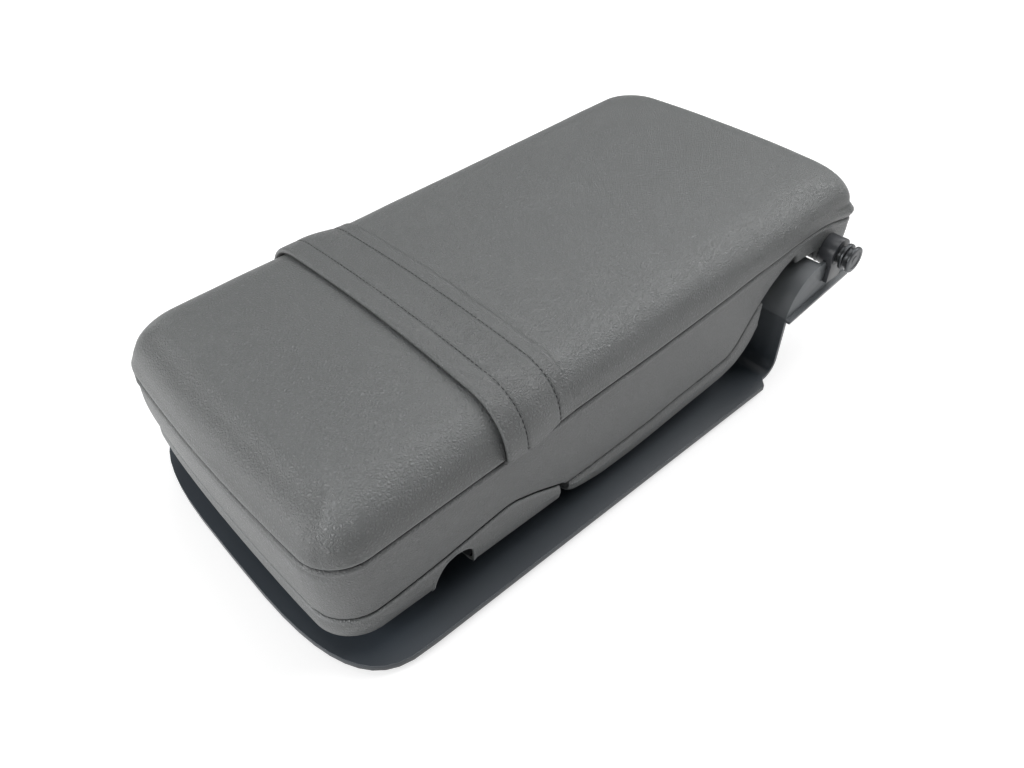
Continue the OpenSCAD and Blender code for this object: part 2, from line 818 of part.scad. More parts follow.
module carrier_screws() {
    color(zinc) union() {
        screw_shanks(screw_r - clear / 4);
        for (p = screws) translate([p[0], y_at(p[1]), z_at(cup_h) + screw_sink - screw_head_h])
            cylinder(r = screw_head_r, h = screw_head_h, $fn = 24);
    }
}

// Elbow pad: sections along the armrest with rounded lower edges
pad_edge_r = 10;
pad_top = 64;
pad_line = concat(
    [for (p = [[0, 10], [1, 6.5], [4.5, 4.4], [14.5, 2]]) [pad_front - p[0], p[1]]],
    shared([[0.8, 0], [0.61, 0], [0.45, 1.7], [0.25, 4.5], [0.08, 6.4]], pad_front),
    [[foot_ahead, 7.6], [94, 11], [86, 16], [79, 24], [74.5, 33]]);

function pad_section(p) = let (y = y_at(p[0]), z = z_at(p[1] + pad_h), r = pad_edge_r, top = z_at(pad_top))
    [for (q = concat(
        [[-half_w, top]],
        [[half_w, top]],
        arc([half_w - r, z + r], r, 0, -90, 5),
        arc([-half_w + r, z + r], r, -90, -180, 5))) [q[0], y, q[1]]];

module elbow_pad() {
    color(leather_side) difference() {
        loft([for (p = pad_line) pad_section(p)]);
        across(-big / 2, big / 2) polygon(concat(
            side([[big, box_pad[1][1] - clear]]),
            side([for (i = [1 : len(box_pad) - 1]) box_pad[i] - [0, clear]]),
            side([[0, over_all], [big, over_all]])));
        carrier_room();
    }
}

// The room that the carrier takes out of the pad
module carrier_room() {
    under = shifted([for (i = [0 : 5]) carrier_floor[i]], clear);
    difference() {
        prism(carrier_d - clear, -1, z_at(over_all));
        across(-half_w, half_w) polygon(side(concat(
            [[big, -big], [big, under[0][1]]], under, [[under[5][0], -big]])));
    }
}

// Lid: the leather outside, the plastic shell inside, both open upwards
lid_edge_r = 7;

function lid_ring(d, z) = [for (p = outline(d)) [p[0], p[1], z]];

module lid_body(d) {
    steps = 4;
    z0 = z_at(lid_h) + d;
    intersection() {
        loft(concat(
            [for (i = [0 : steps]) let (a = 90 * i / steps)
                lid_ring(d + lid_edge_r * (1 - sin(a)), z0 + lid_edge_r * (1 - cos(a)))],
            [lid_ring(d, z_at(60))]));
        slice(lid_rear + d, front_reach + 5);
    }
}

module under_box_line(gap) {
    across(-big / 2, big / 2) polygon(concat(
        side([for (p = box_front) p - [0, gap]]),
        side([[lid_hinge, -big], [front_reach + past_front, -big]])));
}

// Finger notch, as shares of its length from the rear end and of its height
notch_shape = [
    [1, -0.5], [0, -0.5], [0, 0.78], [0.04, 0.88], [0.12, 0.95], [0.25, 1], [0.42, 1],
    [0.58, 0.95], [0.72, 0.84], [0.84, 0.65], [0.93, 0.4], [0.98, 0.18], [1, 0]];

module notch() {
    rear = notch_ahead - notch_l / 2;
    across(half_w - 16, half_w + 10) polygon(side(
        [for (p = notch_shape) [rear + p[0] * notch_l, lid_h + p[1] * notch_h]]));
}

module lid_cover() {
    color(leather_side) difference() {
        intersection() {
            difference() {
                lid_body(0);
                intersection() {
                    lid_body(lid_cover_t);
                    translate([-big / 2, -big / 2, 0]) cube([big, big, big]);
                }
            }
            under_box_line(lid_gap);
        }
        notch();
        across(-knuckle_span / 2 - 1, knuckle_span / 2 + 1) side_rect(
            [lid_rear - 1, lid_hinge_h - knuckle_arm / 2 - clear], [lid_rear + lid_cover_t + clear, big]);
    }
}

module lid_shell() {
    d = lid_cover_t + clear;
    color(black) difference() {
        union() {
            difference() {
                intersection() {
                    difference() {
                        lid_body(d);
                        lid_body(lid_wall_d);
                    }
                    under_box_line(lid_gap + 1.5);
                }
                notch();
            }
            knuckles(1, [lid_rear + d + 1, lid_hinge_h - knuckle_arm / 2],
                [lid_hinge, lid_hinge_h + knuckle_arm / 2]);
        }
        lid_axis(lid_pin_d / 2 + run_gap);
    }
}

module lid_hinge_pin() { color(zinc) lid_axis(lid_pin_d / 2 - run_gap / 4); }

// Magnet on the lid's inner face, under a plate on the cup holder
magnet_l = 30;
magnet_w = 8;
magnet_in = 14;
strike_t = 1.4;
magnet_gap = 0.4;

module at_magnet(h) {
    translate([-magnet_l / 2, front_y + magnet_in, z_at(h)]) children();
}

module lid_magnet() {
    h0 = lid_h + lid_wall_d;
    color(zinc) at_magnet(h0) cube([magnet_l, magnet_w, cup_h - strike_t - magnet_gap - h0]);
}

module strike_plate() {
    color(steel) at_magnet(cup_h - strike_t) cube([magnet_l, magnet_w, strike_t]);
}

module pivot_bush_right() { pivot_bush(1); }
module pivot_bush_left() { pivot_bush(-1); }
module pivot_stud_right() { pivot_stud(1); }
module pivot_stud_left() { pivot_stud(-1); }
module thrust_washer_right() { thrust_washer(1); }
module thrust_washer_left() { thrust_washer(-1); }
module frame_bracket_right() { frame_bracket(1); }
module frame_bracket_left() { frame_bracket(-1); }

back_panel();
panel_clips();
rubber_buffers();
hinge_shaft();
pivot_bush_right();
pivot_bush_left();
pivot_stud_right();
pivot_stud_left();
thrust_washer_right();
thrust_washer_left();
hinge_tube();
frame_loop();
frame_bracket_right();
frame_bracket_left();
foam_core();
carrier();
cup_holder();
carrier_screws();
top_cover_front();
top_cover_rear();
pull_band();
side_band();
elbow_pad();
lid_hinge_pin();
strike_plate();
lid_shell();
lid_cover();
lid_magnet();
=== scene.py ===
"""Rear seat armrest: upholstery, plastic and metal, built on the armrest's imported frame."""

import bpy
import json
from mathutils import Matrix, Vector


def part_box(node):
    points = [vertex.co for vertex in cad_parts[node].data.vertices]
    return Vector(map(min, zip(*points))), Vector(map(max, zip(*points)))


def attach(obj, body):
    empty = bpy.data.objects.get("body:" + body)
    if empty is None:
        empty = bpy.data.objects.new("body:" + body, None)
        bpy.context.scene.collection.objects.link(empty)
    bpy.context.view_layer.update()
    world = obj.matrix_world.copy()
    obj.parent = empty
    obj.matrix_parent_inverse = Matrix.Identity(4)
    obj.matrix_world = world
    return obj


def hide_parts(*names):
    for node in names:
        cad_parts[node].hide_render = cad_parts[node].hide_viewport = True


bl_info = {
    "name": "Rear Seat Armrest",
    "version": (1, 0, 0),
    "blender": (4, 5, 0),
    "location": "View3D > Sidebar > Armrest",
    "description": "Builds the leather, plastic and metal of a rear seat armrest on its frame",
    "category": "Object",
}

import json
import math

import bmesh
import bpy
import numpy as np
from bpy.props import FloatProperty, FloatVectorProperty, IntProperty, PointerProperty
from mathutils import Matrix, Vector

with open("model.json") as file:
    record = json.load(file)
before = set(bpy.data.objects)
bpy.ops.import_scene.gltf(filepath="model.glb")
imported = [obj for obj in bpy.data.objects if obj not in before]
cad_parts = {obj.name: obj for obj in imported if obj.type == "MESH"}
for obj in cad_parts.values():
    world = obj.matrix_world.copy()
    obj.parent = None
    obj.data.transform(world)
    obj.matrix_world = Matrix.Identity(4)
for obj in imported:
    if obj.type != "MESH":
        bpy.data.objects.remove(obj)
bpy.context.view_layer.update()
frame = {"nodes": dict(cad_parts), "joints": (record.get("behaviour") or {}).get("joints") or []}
MM = 0.001


# ---- places taken from the frame


def frame_box(node):
    """Lowest and highest corner of a node, in millimetres."""
    low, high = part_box(node)
    return np.array(low) / MM, np.array(high) / MM


def joint_origin(name):
    """A joint's origin in millimetres."""
    found = next(j for j in frame["joints"] if j["name"] == name)
    return np.array(found["pos_m"]) / MM


PIVOT = joint_origin("armrest_pivot")
LID_AXIS = joint_origin("lid_hinge")
BOXING_LOW, BOXING_HIGH = frame_box("side_band")
HALF_W = BOXING_HIGH[0]
FRONT_Y, REAR_Y = BOXING_LOW[1], BOXING_HIGH[1]
# The pivot's height above the panel and its distance ahead of the base line
PIVOT_H, PIVOT_AHEAD = 80.0, 5.0
PANEL_TOP = PIVOT[2] - PIVOT_H
BASE_Y = PIVOT[1] + PIVOT_AHEAD
FRONT_REACH = BASE_Y - FRONT_Y
LID_REAR = BASE_Y - frame_box("lid_cover")[1][1]
BAND_LOW, BAND_HIGH = frame_box("pull_band")
BAND_FRONT, BAND_W = BASE_Y - BAND_LOW[1], BAND_HIGH[1] - BAND_LOW[1]
# Gap between the two covers under the band
COVER_GAP = 0.6
COVER_SPLIT = BASE_Y - frame_box("top_cover_front")[1][1] - COVER_GAP / 2
# The seam's height above the panel at the base line, and how it falls ahead of it
SEAM_H, SEAM_SLOPE = 97.4, 0.056


def y_at(ahead):
    """Place on the Y axis of a distance ahead of the base line, which lies just behind the pivot."""
    return BASE_Y - ahead


def z_at(h):
    """Place on the Z axis of a height above the panel."""
    return PANEL_TOP + h


def seam_z(y):
    """Height of the straight line under the seam between crown and boxing."""
    return z_at(SEAM_H) - SEAM_SLOPE * (BASE_Y - y)


# ---- settings


def length(name, text, default, low, high):
    """A length setting in metres."""
    return FloatProperty(name=name, description=text, default=default, min=low, max=high,
                         subtype="DISTANCE", unit="LENGTH", precision=5)


def number(name, text, default, low, high):
    """A setting without a unit."""
    return FloatProperty(name=name, description=text, default=default, min=low, max=high)


def colour(name, text, default):
    """A colour setting."""
    return FloatVectorProperty(name=name, description=text, default=default, min=0.0, max=1.0,
                               size=3, subtype="COLOR")


class LeatherSettings(bpy.types.PropertyGroup):
    """Leather of the armrest."""

    top_colour: colour("Top", "Leather of the crowned top", (0.138, 0.145, 0.145))
    # Painted shade: the sides' leather is the top's leather made about an eighth darker
    shaded_side_colour: colour("Sides", "Leather of the boxing, the lid and the elbow pad", (0.122, 0.128, 0.129))
    thread_colour: colour("Thread", "Sewing thread of the pull band", (0.040, 0.042, 0.044))
    grain: length("Grain", "Size of one pebble of the leather grain", 0.0018, 0.0003, 0.01)
    grain_depth: length("Grain depth", "Height of the leather grain", 0.00044, 0.0, 0.001)
    crown_in: length("Edge inset", "How far the rounded edge of the crown reaches in", 0.032, 0.01, 0.06)
    crown_h: length("Edge height", "Height of the rounded edge above the seam", 0.030, 0.01, 0.05)
    square: number("Square", "Form of the rounded edge: 2 is an ellipse, more is squarer", 2.25, 1.5, 6.0)
    crown_mid: length("Crown", "Further rise to the middle of the crown", 0.0025, 0.0, 0.01)
    seam_depth: length("Seam depth", "How far the leather is drawn in at a seam", 0.0015, 0.0, 0.004)
    bead: length("Seam bead", "How far the leather swells beside a seam", 0.00035, 0.0, 0.002)
    welt: length("Rear welt", "How far the fold above the rear seam stands out", 0.0022, 0.0, 0.004)
    puff: length("Puff", "How far the boxing swells between its edges", 0.0009, 0.0, 0.003)
    waves: length("Waves", "Height of the slow waves in the leather", 0.00025, 0.0, 0.002)


class BandSettings(bpy.types.PropertyGroup):
    """Pull band round the crown."""

    edge: length("Free edge", "Thickness of the band at its free edge", 0.0044, 0.001, 0.01)
    sewn_edge: length("Sewn edge", "Thickness of the band at its rear edge", 0.0009, 0.0005, 0.01)
    row_front: length("Front row", "First stitch row behind the free edge", 0.013, 0.002, 0.03)
    row_rear: length("Rear row", "Second stitch row behind the free edge", 0.039, 0.02, 0.048)
    pitch: length("Stitch pitch", "Distance from one stitch to the next", 0.0033, 0.001, 0.01)
    stitch: length("Stitch", "Length of a stitch", 0.0027, 0.001, 0.01)
    thread: length("Thread", "Thickness of the thread", 0.0004, 0.0002, 0.002)


class PlasticSettings(bpy.types.PropertyGroup):
    """Plastic and metal of the panel, the pivot and the inside."""

    panel_colour: colour("Panel", "Moulded back panel", (0.034, 0.043, 0.054))
    inner_colour: colour("Inside", "Carrier, cup holder and lid shell", (0.018, 0.019, 0.021))
    bush_colour: colour("Bush", "Pivot bushes", (0.055, 0.058, 0.064))
    edge_round: length("Edge", "Rounding of the panel's edges", 0.0008, 0.0001, 0.002)


class StageSettings(bpy.types.PropertyGroup):
    """Floor, light and camera."""

    sky: number("Sky", "Strength of the white surroundings on the object", 0.09, 0.0, 2.0)
    light: number("Light", "Power of the lamps, as a share of their usual power", 1.0, 0.0, 10.0)
    floor_colour: colour("Floor", "Floor under the armrest", (0.93, 0.93, 0.93))
    floor_glow: number("Floor glow", "Share of plain white in the floor near the armrest", 0.42, 0.0, 1.0)
    table: length("Table", "How far the floor shows in the gloss of the armrest", 0.62, 0.1, 5.0)
    lens: number("Lens", "Focal length in millimetres", 28.85, 10.0, 200.0)
    seed: IntProperty(name="Seed", description="Seed of the slow waves", default=7, min=0, max=999)


# ---- shader wires


class Wire:
    """A socket of a shader tree. Operators on it add the nodes that work the value out."""

    def __init__(self, tree, socket):
        self.tree = tree
        self.socket = socket

    def add(self, kind, settings=None, inputs=None, out=0):
        """Adds a node to the same tree."""
        return add_node(self.tree, kind, settings, inputs, out)

    def _is_number(self):
        return self.socket.type in ("VALUE", "INT", "BOOLEAN")

    def _work(self, operation, a, b):
        if all(not isinstance(v, Wire) or v._is_number() for v in (a, b)):
            return self.add("ShaderNodeMath", {"operation": operation}, {0: a, 1: b})
        if operation == "MULTIPLY" and not isinstance(b, (Wire, tuple)):
            return self.add("ShaderNodeVectorMath", {"operation": "SCALE"}, {0: a, "Scale": b})
        a, b = (v if isinstance(v, (Wire, tuple)) else (v, v, v) for v in (a, b))
        return self.add("ShaderNodeVectorMath", {"operation": operation}, {0: a, 1: b})

    def __add__(self, other):
        return self._work("ADD", self, other)

    def __radd__(self, other):
        return self._work("ADD", other, self)

    def __sub__(self, other):
        return self._work("SUBTRACT", self, other)

    def __rsub__(self, other):
        return self._work("SUBTRACT", other, self)

    def __mul__(self, other):
        return self._work("MULTIPLY", self, other)

    def most(self, other):
        """The larger of two values."""
        return self._work("MAXIMUM", self, other)

    def ramp(self, low, high, to_low=0.0, to_high=1.0):
        """Soft step between two values."""
        return self.add("ShaderNodeMapRange", {"interpolation_type": "SMOOTHSTEP"},
                        {0: self, 1: low, 2: high, 3: to_low, 4: to_high})


def add_node(tree, kind, settings=None, inputs=None, out=0):
    """Adds any node: its settings first, then the values or links of its sockets."""
    node = tree.nodes.new(kind)
    for key, value in (settings or {}).items():
        setattr(node, key, value)
    for key, value in (inputs or {}).items():
        if isinstance(value, Wire):
            tree.links.new(value.socket, node.inputs[key])
        else:
            node.inputs[key].default_value = value
    return Wire(tree, node.outputs[out]) if len(node.outputs) else node


def mix(factor, a, b):
    """Colour a where factor is 0 and b where it is 1."""
    return factor.add("ShaderNodeMix", {"data_type": "RGBA", "clamp_factor": True},
                      {0: factor, 6: rgba(a), 7: rgba(b)}, 2)


def rgba(value):
    """A wire as it is, and a plain colour with full alpha."""
    return value if isinstance(value, Wire) else (*tuple(value)[:3], 1.0)


def shade(value, k):
    """A colour made lighter or darker by k."""
    return tuple(min(1.0, c * k) for c in tuple(value)[:3])


def new_material(name):
    """A material that still lacks its nodes."""
    material = bpy.data.materials.new(name)
    material.use_nodes = True
    material.node_tree.nodes.clear()
    return material


def noise(at, size, detail=2.0, rough=0.5, out="Fac"):
    """Noise from 0 to 1 with features of about that many millimetres."""
    return at.add("ShaderNodeTexNoise", None,
                  {"Vector": at, "Scale": 1.0 / size, "Detail": detail, "Roughness": rough}, out)


def cells(at, size, feature="F1"):
    """Cell pattern with cells of about that many millimetres."""
    return at.add("ShaderNodeTexVoronoi", {"feature": feature}, {"Vector": at, "Scale": 1.0 / size},
                  "Distance")


def attribute(at, name):
    """A value that a piece carries on its points or corners, and 0 where it carries none."""
    return at.add("ShaderNodeAttribute", {"attribute_name": name}, None, "Fac")


def bump(height, distance):
    """A normal that shows a height of 0 to 1 as relief of a distance in metres."""
    return height.add("ShaderNodeBump", None, {"Height": height, "Distance": distance}, "Normal")


def leather_inputs(at, base, grain, depth):
    """Grained car leather: pebbles between crevices, pores and a slow change of tone, with painted shade in
    the crevices and where a piece carries painted shade, and painted highlights where it carries painted
    light.
    """
    size = grain / MM
    warped = at + (noise(at, size / 0.6, out="Color") - (0.5, 0.5, 0.5)) * (0.9 * size)
    pebble = cells(warped, size, "DISTANCE_TO_EDGE").ramp(0.0, 0.5)
    fine = cells(warped, size * 0.42, "DISTANCE_TO_EDGE").ramp(0.0, 0.3)
    pore = cells(at, size * 1.9).ramp(0.0, 0.22)
    slow, patch = noise(at, 38.0, 3.0), noise(at, 7.0)
    height = pebble * 0.62 + fine * 0.22 + pore * 0.16
    raised = height.ramp(0.25, 0.9)
    crease = attribute(at, "crease")
    tone = mix(slow.ramp(0.3, 0.7), shade(base, 0.955), shade(base, 1.045))
    tone = mix(patch.ramp(0.35, 0.75) * 0.35, tone, shade(base, 1.09))
    # Painted shade: the grain's crevices darker than its raised pebbles
    tone = mix(raised, shade(base, 0.80), tone)
    # Painted highlight where the piece carries painted light
    tone = mix(attribute(at, "rub") * 0.6, tone, shade(base, 2.0))
    # Painted shade, nearly black, where the piece carries painted shade; the leather is also rougher there
    return {"Specular IOR Level": 1.0, "Base Color": mix(crease, tone, shade(base, 0.06)),
            "Roughness": 0.39 - raised * 0.10 + patch * 0.05 + slow * 0.02 + crease * 0.4,
            "Normal": bump(height, depth)}


def moulded_inputs(at, base, rough, grain, depth):
    """Moulded plastic with a fine spark-eroded texture, faint scuffs, and painted highlights and painted
    shade where a piece marks them.
    """
    fine, grit = cells(at, grain, "SMOOTH_F1"), noise(at, grain * 0.7, 3.0, 0.6)
    scratches = noise(at * (0.08, 1.0, 1.0), 1.1, 4.0, 0.7).ramp(0.62, 0.74)
    rub = attribute(at, "rub")
    tone = mix(noise(at, 45.0, 3.0), shade(base, 0.86), shade(base, 1.16))
    tone = mix(scratches * 0.12, tone, shade(base, 2.0))
    # Painted highlight: a light neutral grey where the piece carries painted light, the sheen on the
    # panel's edges and arms
    tone = mix(rub * 0.8, tone, [base[1] * k for k in (8.7, 9.1, 9.3)])
    # Painted shade where the piece carries negative painted light, the panel's upright rim
    return {"Base Color": mix(rub * -1.0, tone, shade(base, 0.4)),
            "Roughness": rough + (grit - 0.5) * 0.14 - scratches * 0.08,
            "Normal": bump(fine * 0.6 + grit * 0.4, depth)}


def metal_inputs(at, base, rough, turned=False, grime=0.35):
    """Bare or plated steel; turned gives rings round the X axis of the pivot."""
    height = fine = noise(at, 0.35, 3.0, 0.6)
    if turned:
        axis = at.add("ShaderNodeSeparateXYZ", None, {0: at}, "X")
        rings = axis.add("ShaderNodeTexNoise", {"noise_dimensions": "1D"},
                         {"W": axis * 3.2, "Scale": 1.0, "Detail": 3.0}, "Fac")
        height = fine * 0.35 + rings * 0.65
    dirt = noise(at, 6.0, 4.0, 0.6).ramp(0.5, 0.78) * grime
    return {"Base Color": mix(dirt, base, shade(base, 0.28)), "Metallic": 1.0 - dirt * 0.75,
            "Roughness": rough + dirt * 0.35 + fine * 0.08, "Normal": bump(height, 0.00002)}


def soft_inputs(at, base, cell, depth, rough):
    """Open foam, rubber or thread, by the size of its cells."""
    pores, slow = cells(at, cell).ramp(0.1, 0.6), noise(at, cell * 12.0, 3.0)
    # Painted shade: darker in the pores
    tone = mix(pores, shade(base, 0.8), base)
    tone = mix(slow.ramp(0.35, 0.7) * 0.5, tone, shade(base, 1.12))
    return {"Specular IOR Level": 0.35, "Base Color": tone, "Roughness": rough - slow * 0.1,
            "Normal": bump(pores, depth)}


def finishes(skin, plastic):
    """Every finish: what makes its shader's inputs, its material's name and its values."""
    return {
        "leather_top": (leather_inputs, "leather_top", skin.top_colour, skin.grain, skin.grain_depth),
        # Painted shade: the same leather as the top, darker, on the boxing, the lid and the elbow pad
        "leather_side": (leather_inputs, "leather_side", skin.shaded_side_colour, skin.grain, skin.grain_depth),
        "thread": (soft_inputs, "sewing_thread", skin.thread_colour, 0.25, 0.00008, 0.7),
        "panel": (moulded_inputs, "moulded_panel", plastic.panel_colour, 0.44, 0.55, 0.000035),
        "inner": (moulded_inputs, "moulded_inner", plastic.inner_colour, 0.5, 0.8, 0.00004),
        "clip": (moulded_inputs, "clip_plastic", plastic.inner_colour, 0.38, 0.4, 0.00001),
        "bush": (moulded_inputs, "bush_plastic", plastic.bush_colour, 0.36, 0.6, 0.00002),
        "rubber": (soft_inputs, "buffer_rubber", (0.014, 0.014, 0.015), 0.5, 0.00002, 0.62),
        "foam": (soft_inputs, "cut_foam", (0.62, 0.56, 0.36), 0.9, 0.0004, 0.92),
        "zinc": (metal_inputs, "plated_steel", (0.47, 0.48, 0.49), 0.30, True, 0.55),
        "steel": (metal_inputs, "frame_steel", (0.42, 0.43, 0.44), 0.38),
        "dark_stud": (metal_inputs, "stud_steel", (0.10, 0.105, 0.11), 0.34, True),
    }


MATERIALS = {}


def material(name):
    """A finish by name, made on first use from the settings."""
    if name not in MATERIALS:
        settings = bpy.context.scene.armrest
        maker, label, *values = finishes(settings.leather, settings.plastic)[name]
        made_new = MATERIALS[name] = new_material(label)
        tree = made_new.node_tree
        at = add_node(tree, "ShaderNodeTexCoord", None, None, "Object") * (1 / MM)
        shader = add_node(tree, "ShaderNodeBsdfPrincipled", None, maker(at, *values))
        add_node(tree, "ShaderNodeOutputMaterial", None, {"Surface": shader})
    return MATERIALS[name]


# ---- mesh helpers


# Angles in degrees from which edges are sharp on hard pieces, on leather and on pieces from the frame; how
# near points are merged in metres; and up to what angle in degrees faces are merged
SHARP, LEATHER_SHARP, FRAME_SHARP = 40.0, 50.0, 38.0
MERGE, FLAT = 2e-6, 0.6


def linked(name, data):
    """A new object in the scene."""
    obj = bpy.data.objects.new(name, data)
    bpy.context.scene.collection.objects.link(obj)
    return obj


def discard(obj):
    """Removes an object and its mesh."""
    mesh = obj.data
    bpy.data.objects.remove(obj)
    bpy.data.meshes.remove(mesh)


def shell(name, rings, ends="faces", sharp=SHARP):
    """An object from rings of points in millimetres, each joined to the next.

    Its ends are closed by faces, by strips from side to side (the rings mirror each other), or, as a loop,
    by joining the last ring to the first.
    """
    n = len(rings[0])
    loops = np.arange(n * len(rings)).reshape(-1, n)
    pairs = list(zip(loops, loops[1:])) + ([(loops[-1], loops[0])] if ends == "loop" else [])
    faces = [(a[i], a[(i + 1) % n], b[(i + 1) % n], b[i]) for a, b in pairs for i in range(n)]
    for ring in (loops[0], loops[-1]):
        if ends == "faces":
            faces.append(tuple(ring))
        elif ends == "strips":
            faces.append((ring[0], ring[1], ring[n - 1]))
            faces += [(ring[i], ring[i + 1], ring[n - i - 1], ring[n - i]) for i in range(1, n // 2 - 1)]
            faces.append((ring[n // 2 - 1], ring[n // 2], ring[n // 2 + 1]))
    return made(name, np.concatenate(rings), faces, sharp)


def made(name, points, faces, sharp=SHARP):
    """A mesh object from points in millimetres, facing outwards and smooth."""
    mesh = bpy.data.meshes.new(name)
    mesh.from_pydata((np.asarray(points) * MM).tolist(), [], [tuple(int(i) for i in f) for f in faces])
    obj = linked(name, mesh)
    edit(obj, lambda bm: bmesh.ops.recalc_face_normals(bm, faces=bm.faces))
    return smooth(obj, sharp)


def mark(obj, domain="POINT", **layers):
    """Writes values on each point or corner of a piece, for its material to read."""
    for name, values in layers.items():
        layer = obj.data.attributes.new(name, "FLOAT", domain)
        layer.data.foreach_set("value", np.asarray(values, np.float32))
    return obj


def edit(obj, change):
    """Runs a change on the object's mesh through bmesh."""
    bm = bmesh.new()
    bm.from_mesh(obj.data)
    change(bm)
    bm.to_mesh(obj.data)
    bm.free()
    obj.data.update()


def smooth(obj, sharp):
    """Smooth faces, with sharp edges from an angle on."""
    obj.data.polygons.foreach_set("use_smooth", [True] * len(obj.data.polygons))
    obj.data.set_sharp_from_angle(angle=math.radians(sharp))
    obj.data.update()
    return obj


def plain(obj):
    """Applies the object's modifiers by way of its evaluated mesh."""
    bpy.context.view_layer.update()
    graph = bpy.context.evaluated_depsgraph_get()
    mesh = bpy.data.meshes.new_from_object(obj.evaluated_get(graph), depsgraph=graph)
    obj.modifiers.clear()
    old, obj.data = obj.data, mesh
    mesh.name = obj.name
    bpy.data.meshes.remove(old)
    return obj


def cut(obj, cutter, sharp):
    """Takes the cutter's shape out of the object and removes the cutter."""
    tool = obj.modifiers.new("cut", "BOOLEAN")
    tool.operation, tool.solver, tool.object = "DIFFERENCE", "EXACT", cutter
    plain(obj)
    discard(cutter)
    return smooth(obj, sharp)


def keep_side(obj, y, behind, sharp=SHARP):
    """Keeps what lies behind (or ahead of) a plane across the armrest, and closes the cut."""

    def change(bm):
        cutting = bmesh.ops.bisect_plane(
            bm, geom=bm.verts[:] + bm.edges[:] + bm.faces[:], plane_co=(0, y * MM, 0),
            plane_no=(0, 1, 0), clear_inner=behind, clear_outer=not behind)
        edges = [g for g in cutting["geom_cut"] if isinstance(g, bmesh.types.BMEdge)]
        bmesh.ops.triangle_fill(bm, use_beauty=True, edges=edges)
        bmesh.ops.recalc_face_normals(bm, faces=bm.faces)

    edit(obj, change)
    return smooth(obj, sharp)


def joined(name, objects, sharp):
    """One object out of several."""
    bm = bmesh.new()
    for part in objects:
        bm.from_mesh(part.data)
        discard(part)
    mesh = bpy.data.meshes.new(name)
    bm.to_mesh(mesh)
    bm.free()
    return smooth(linked(name, mesh), sharp)


def finished(node, name, bevel, angle=35.0):
    """A copy of a frame node with merged faces and rounded edges."""
    obj = linked(name, frame["nodes"][node].data.copy())
    if obj.data.has_custom_normals:
        with bpy.context.temp_override(object=obj, active_object=obj, selected_objects=[obj]):
            bpy.ops.mesh.customdata_custom_splitnormals_clear()

    def change(bm):
        bmesh.ops.remove_doubles(bm, verts=bm.verts, dist=MERGE)
        bmesh.ops.recalc_face_normals(bm, faces=bm.faces)
        bmesh.ops.dissolve_limit(bm, angle_limit=math.radians(FLAT), verts=bm.verts, edges=bm.edges)

    edit(obj, change)
    tool = obj.modifiers.new("edge", "BEVEL")
    tool.width, tool.segments = bevel, 2
    tool.limit_method, tool.angle_limit = "ANGLE", math.radians(angle)
    return smooth(plain(obj), FRAME_SHARP)


# A face stands upright below one share of its normal along Z and lies level above the other; the area of a
# small face in square metres; the heights in metres of the rim and of where the arms' painted sheen starts
# and is full; and how strong the painted sheen on the arms and the painted shade on the rim are
UPRIGHT, LEVEL = 0.25, 0.97
SMALL_FACE = 2.5e-5
RIM_H, SHEEN_FROM, SHEEN_TO = 0.007, 0.035, 0.068
ARM_SHEEN, RIM_SHADE = 0.48, 0.7


def paint_panel_light(obj):
    """Marks the panel's painted highlights, on the small faces that round an edge and on the arms, and its
    painted shade, on the rim that stands upright at the floor."""
    values = []
    for face in obj.data.polygons:
        slope = abs(face.normal.z)
        rounding = UPRIGHT < slope < LEVEL and face.area < SMALL_FACE
        for k in face.vertices:
            height = obj.data.vertices[k].co.z
            rim = slope < UPRIGHT and height < RIM_H
            values.append(max(rounding, ARM_SHEEN * step(SHEEN_FROM, SHEEN_TO, height)) - RIM_SHADE * rim)
    return mark(obj, "CORNER", rub=values)


def dressed(obj, finish, body, slot, *nodes):
    """Gives a piece its finish, its body and the nodes that it stands for."""
    obj.data.materials.clear()
    obj.data.materials.append(material(finish))
    obj.data.polygons.foreach_set("material_index", [0] * len(obj.data.polygons))
    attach(obj, body)
    if nodes:
        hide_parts(*nodes)


def repaint(finish, *nodes):
    """Gives carried-over frame nodes their finish."""
    for node in nodes:
        obj = frame["nodes"][node]
        if not obj.material_slots:
            obj.data.materials.append(material(finish))
        for slot in obj.material_slots:
            slot.material = material(finish)


# Lengths of the slow waves in millimetres
WAVE_SIZES = (150.0, 90.0, 60.0, 34.0)


def waves(x, y, height, seed):
    """Slow waves of a stretched skin, in the units of height."""
    rng = np.random.default_rng(seed)
    total = np.zeros(np.broadcast(x, y).shape)
    for size in WAVE_SIZES:
        for _ in range(3):
            angle, start = rng.uniform(0, math.pi), rng.uniform(0, 2 * math.pi)
            total += (size / WAVE_SIZES[0]) * np.sin(
                2 * math.pi * (x * math.cos(angle) + y * math.sin(angle)) / size + start)
    return total * height / 3.0


def step(low, high, value):
    """Soft step from 0 at low to 1 at high."""
    t = np.clip((value - low) / (high - low), 0.0, 1.0)
    return t * t * (3 - 2 * t)


def bell(value, centre, width):
    """Soft bump of height 1 round a centre."""
    return np.exp(-(((value - centre) / width) ** 2))


def along(line, spacing):
    """A line resampled at even spacing."""
    line = np.asarray(line, float)
    run = np.r_[0, np.cumsum(np.linalg.norm(np.diff(line, axis=0), axis=1))]
    at = np.linspace(0, run[-1], max(2, int(round(run[-1] / spacing)) + 1))
    return np.stack([np.interp(at, run, line[:, k]) for k in range(line.shape[1])], 1)


